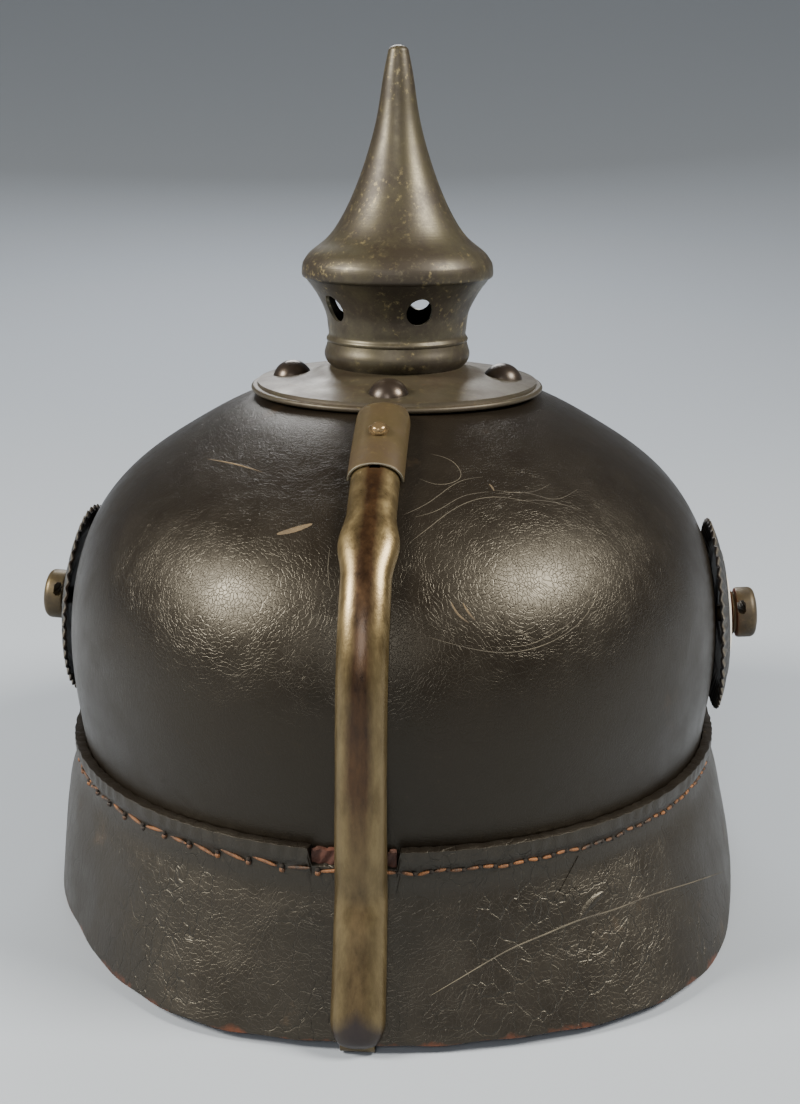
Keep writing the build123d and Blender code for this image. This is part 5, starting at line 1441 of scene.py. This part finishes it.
VISOR_SCRATCHES = [
    (0.45, [(430, 996), (479, 967), (515, 947), (546, 934), (580, 920), (613, 910), (649, 896), (687, 884),
            (725, 871)]),
]
marks("rear_visor_scratch", rear_guard, VISOR_SCRATCHES, scratched, height=0.10)
VISOR_CREASES = [
    (0.30, [(578, 856), (566, 879), (554, 901)]),
    (0.25, [(580, 886), (571, 891), (563, 896)]),
    (0.30, [(598, 923), (592, 944), (586, 965)]),
    (2.3, [(580, 919), (586, 909), (594, 900), (603, 892)]),
]
marks("rear_visor_creases", rear_guard, VISOR_CREASES, visor_leather, height=0.22)

# %% [markdown]
# ## The liner
# Inside sits a sweatband of thin brown leather. Above the brow it is cut into nine tongues that
# lean in to the crown; the holes for their lace are not cut here. The band and the tongues are one
# sheet: the grid is left open where two tongues part.

# %% Make the liner
LINER_WALL, LINER_TOP, LINER_GAP, TOP_HALF_WIDTH = 1.3, 112.0, 0.6, 36.0
TONGUES, TONGUE_GAP, TONGUE_START, TONGUE_STEPS = 9, 5.0, 60.0, 23
PARTING_LENGTH, TIP_LENGTH, TIP_SHARE, TONGUE_SAG = 4.0, 9.0, 0.75, 0.8
LINER_SHARES = [(0.0, 0.0), (0.22, 0.03), (0.45, 0.14), (0.66, 0.32), (0.82, 0.56), (0.94, 0.82), (1.0, 1.0)]
band_half_width = float(np.interp(SHELL_EDGE, inner[:, 1], inner[:, 0])) - LINER_GAP
liner_rise, liner_taper = LINER_TOP - SHELL_EDGE, band_half_width - TOP_HALF_WIDTH
liner_stretch = (HALF_LENGTH - SHELL_WALL) / (HALF_WIDTH - SHELL_WALL)
liner_line = smooth_line([(band_half_width - liner_taper * inwards_share, SHELL_EDGE + liner_rise * up)
                          for up, inwards_share in LINER_SHARES], 120)
liner_heights = np.concatenate([np.linspace(SHELL_EDGE, TONGUE_START, 14),
                                np.linspace(TONGUE_START, LINER_TOP, 34)[1:]])


def liner_width(z):
    return np.interp(z, liner_line[:, 1], liner_line[:, 0])


def tongue_row(tongue, z):
    """One row of places across a tongue; below the partings it fills a ninth of the band."""
    middle_width = float(liner_width(z)) * (1 + liner_stretch) / 2
    parted = min(1.0, math.sqrt(max(0.0, (z - TONGUE_START) / PARTING_LENGTH)))
    tip = max(0.0, (z - LINER_TOP + TIP_LENGTH) / TIP_LENGTH)
    half = (math.pi / TONGUES - TONGUE_GAP / 2 / middle_width * parted) * (1 - TIP_SHARE * tip ** 3)
    turn = math.pi / 2 + 2 * math.pi * tongue / TONGUES + np.linspace(-half, half, TONGUE_STEPS)
    sag = TONGUE_SAG * math.sin(z / 9 + tongue * 1.7) * max(0.0, (z - TONGUE_START) / 50)
    width = liner_width(z) + sag
    length = width * liner_stretch
    return np.column_stack([width * np.cos(turn), length * np.sin(turn), np.full(TONGUE_STEPS, z)])


points, faces = [], []
for tongue in range(TONGUES):
    first = len(points)
    for z in liner_heights:
        points += [tuple(place) for place in tongue_row(tongue, z)]
    for row in range(len(liner_heights) - 1):
        for c in range(TONGUE_STEPS - 1):
            a = first + row * TONGUE_STEPS + c
            faces.append((a, a + 1, a + TONGUE_STEPS + 1, a + TONGUE_STEPS))
liner = mesh_object("sweatband_and_tongues", points, faces)
tidy_mesh(liner, merge=0.05)
give_wall(liner, LINER_WALL, -1.0)
liner.data.materials.append(lining_leather)
bake_modifiers(liner)
tidy_mesh(liner)
smooth_shading(liner, 50)
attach(liner, "helmet")
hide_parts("liner")
print("liner:", TONGUES, "tongues,", len(liner.data.polygons), "faces")

# %% [markdown]
# ## Floor and light
# The helmet stands on a plain pale floor that curves up far away, so no horizon shows. Two large
# soft lamps at the sides of the camera give the two round highlights of the photograph on the
# shell, a third lights it from behind the camera and a fourth from the front, and a pale sky fills
# the rest.

# %% The floor
FLOOR_LINE = [(0.02, 0.0), (0.5, 0.0), (0.9, 0.015), (1.3, 0.08), (1.8, 0.26), (2.3, 0.60), (2.7, 1.1),
              (2.95, 1.8), (3.0, 2.6)]
turns = np.linspace(0, 2 * np.pi, 96, endpoint=False)
grid = np.array([[(r * math.cos(a) / MM, r * math.sin(a) / MM - AXIS_Y, z / MM) for a in turns]
                 for r, z in smooth_line(FLOOR_LINE, 60)])
floor = grid_object("floor", grid, closed=True)
closed = bmesh.new()
closed.from_mesh(floor.data)
middle_ring = [edge for edge in closed.edges if edge.is_boundary and edge.verts[0].co.xy.length < 0.1]
bmesh.ops.holes_fill(closed, edges=middle_ring)
closed.to_mesh(floor.data)
closed.free()
floor.data.shade_smooth()
floor_finish, _, surface, _ = new_finish("pale_floor")
surface.inputs["Base Color"].default_value = (0.30, 0.335, 0.39, 1)
surface.inputs["Roughness"].default_value = 0.9
surface.inputs["Specular IOR Level"].default_value = 0.2
floor.data.materials.append(floor_finish)
print("floor:", len(floor.data.polygons), "faces")

# %% Sky and lamps
SKY_COLOUR, SKY_STRENGTH, AIM_HEIGHT = (0.90, 0.94, 1.0, 1), 0.16, 0.10
world = bpy.data.worlds.new("soft_sky")
bpy.context.scene.world = world
world.use_nodes = True
sky = world.node_tree.nodes["Background"].inputs
sky["Color"].default_value, sky["Strength"].default_value = SKY_COLOUR, SKY_STRENGTH


def soft_lamp(name, place, size, power, colour):
    data = bpy.data.lights.new(name, "AREA")
    data.shape, data.size, data.energy, data.color = "DISK", size, power, colour
    aim = Vector((0, AXIS_Y * MM, AIM_HEIGHT)) - Vector(place)
    turn = aim.to_track_quat("-Z", "Y").to_matrix().to_4x4()
    in_scene(name, data).matrix_world = Matrix.Translation(place) @ turn


soft_lamp("lamp_left", (0.87, 0.40, 0.75), 0.34, 30.0, (1.0, 0.93, 0.80))
soft_lamp("lamp_right", (-0.81, 0.23, 0.88), 0.40, 29.0, (1.0, 0.93, 0.80))
soft_lamp("lamp_back", (0.10, 1.25, 0.75), 0.5, 7.0, (1.0, 0.96, 0.90))
soft_lamp("lamp_front", (0.2, -1.1, 0.8), 0.6, 9.0, (1, 1, 1))
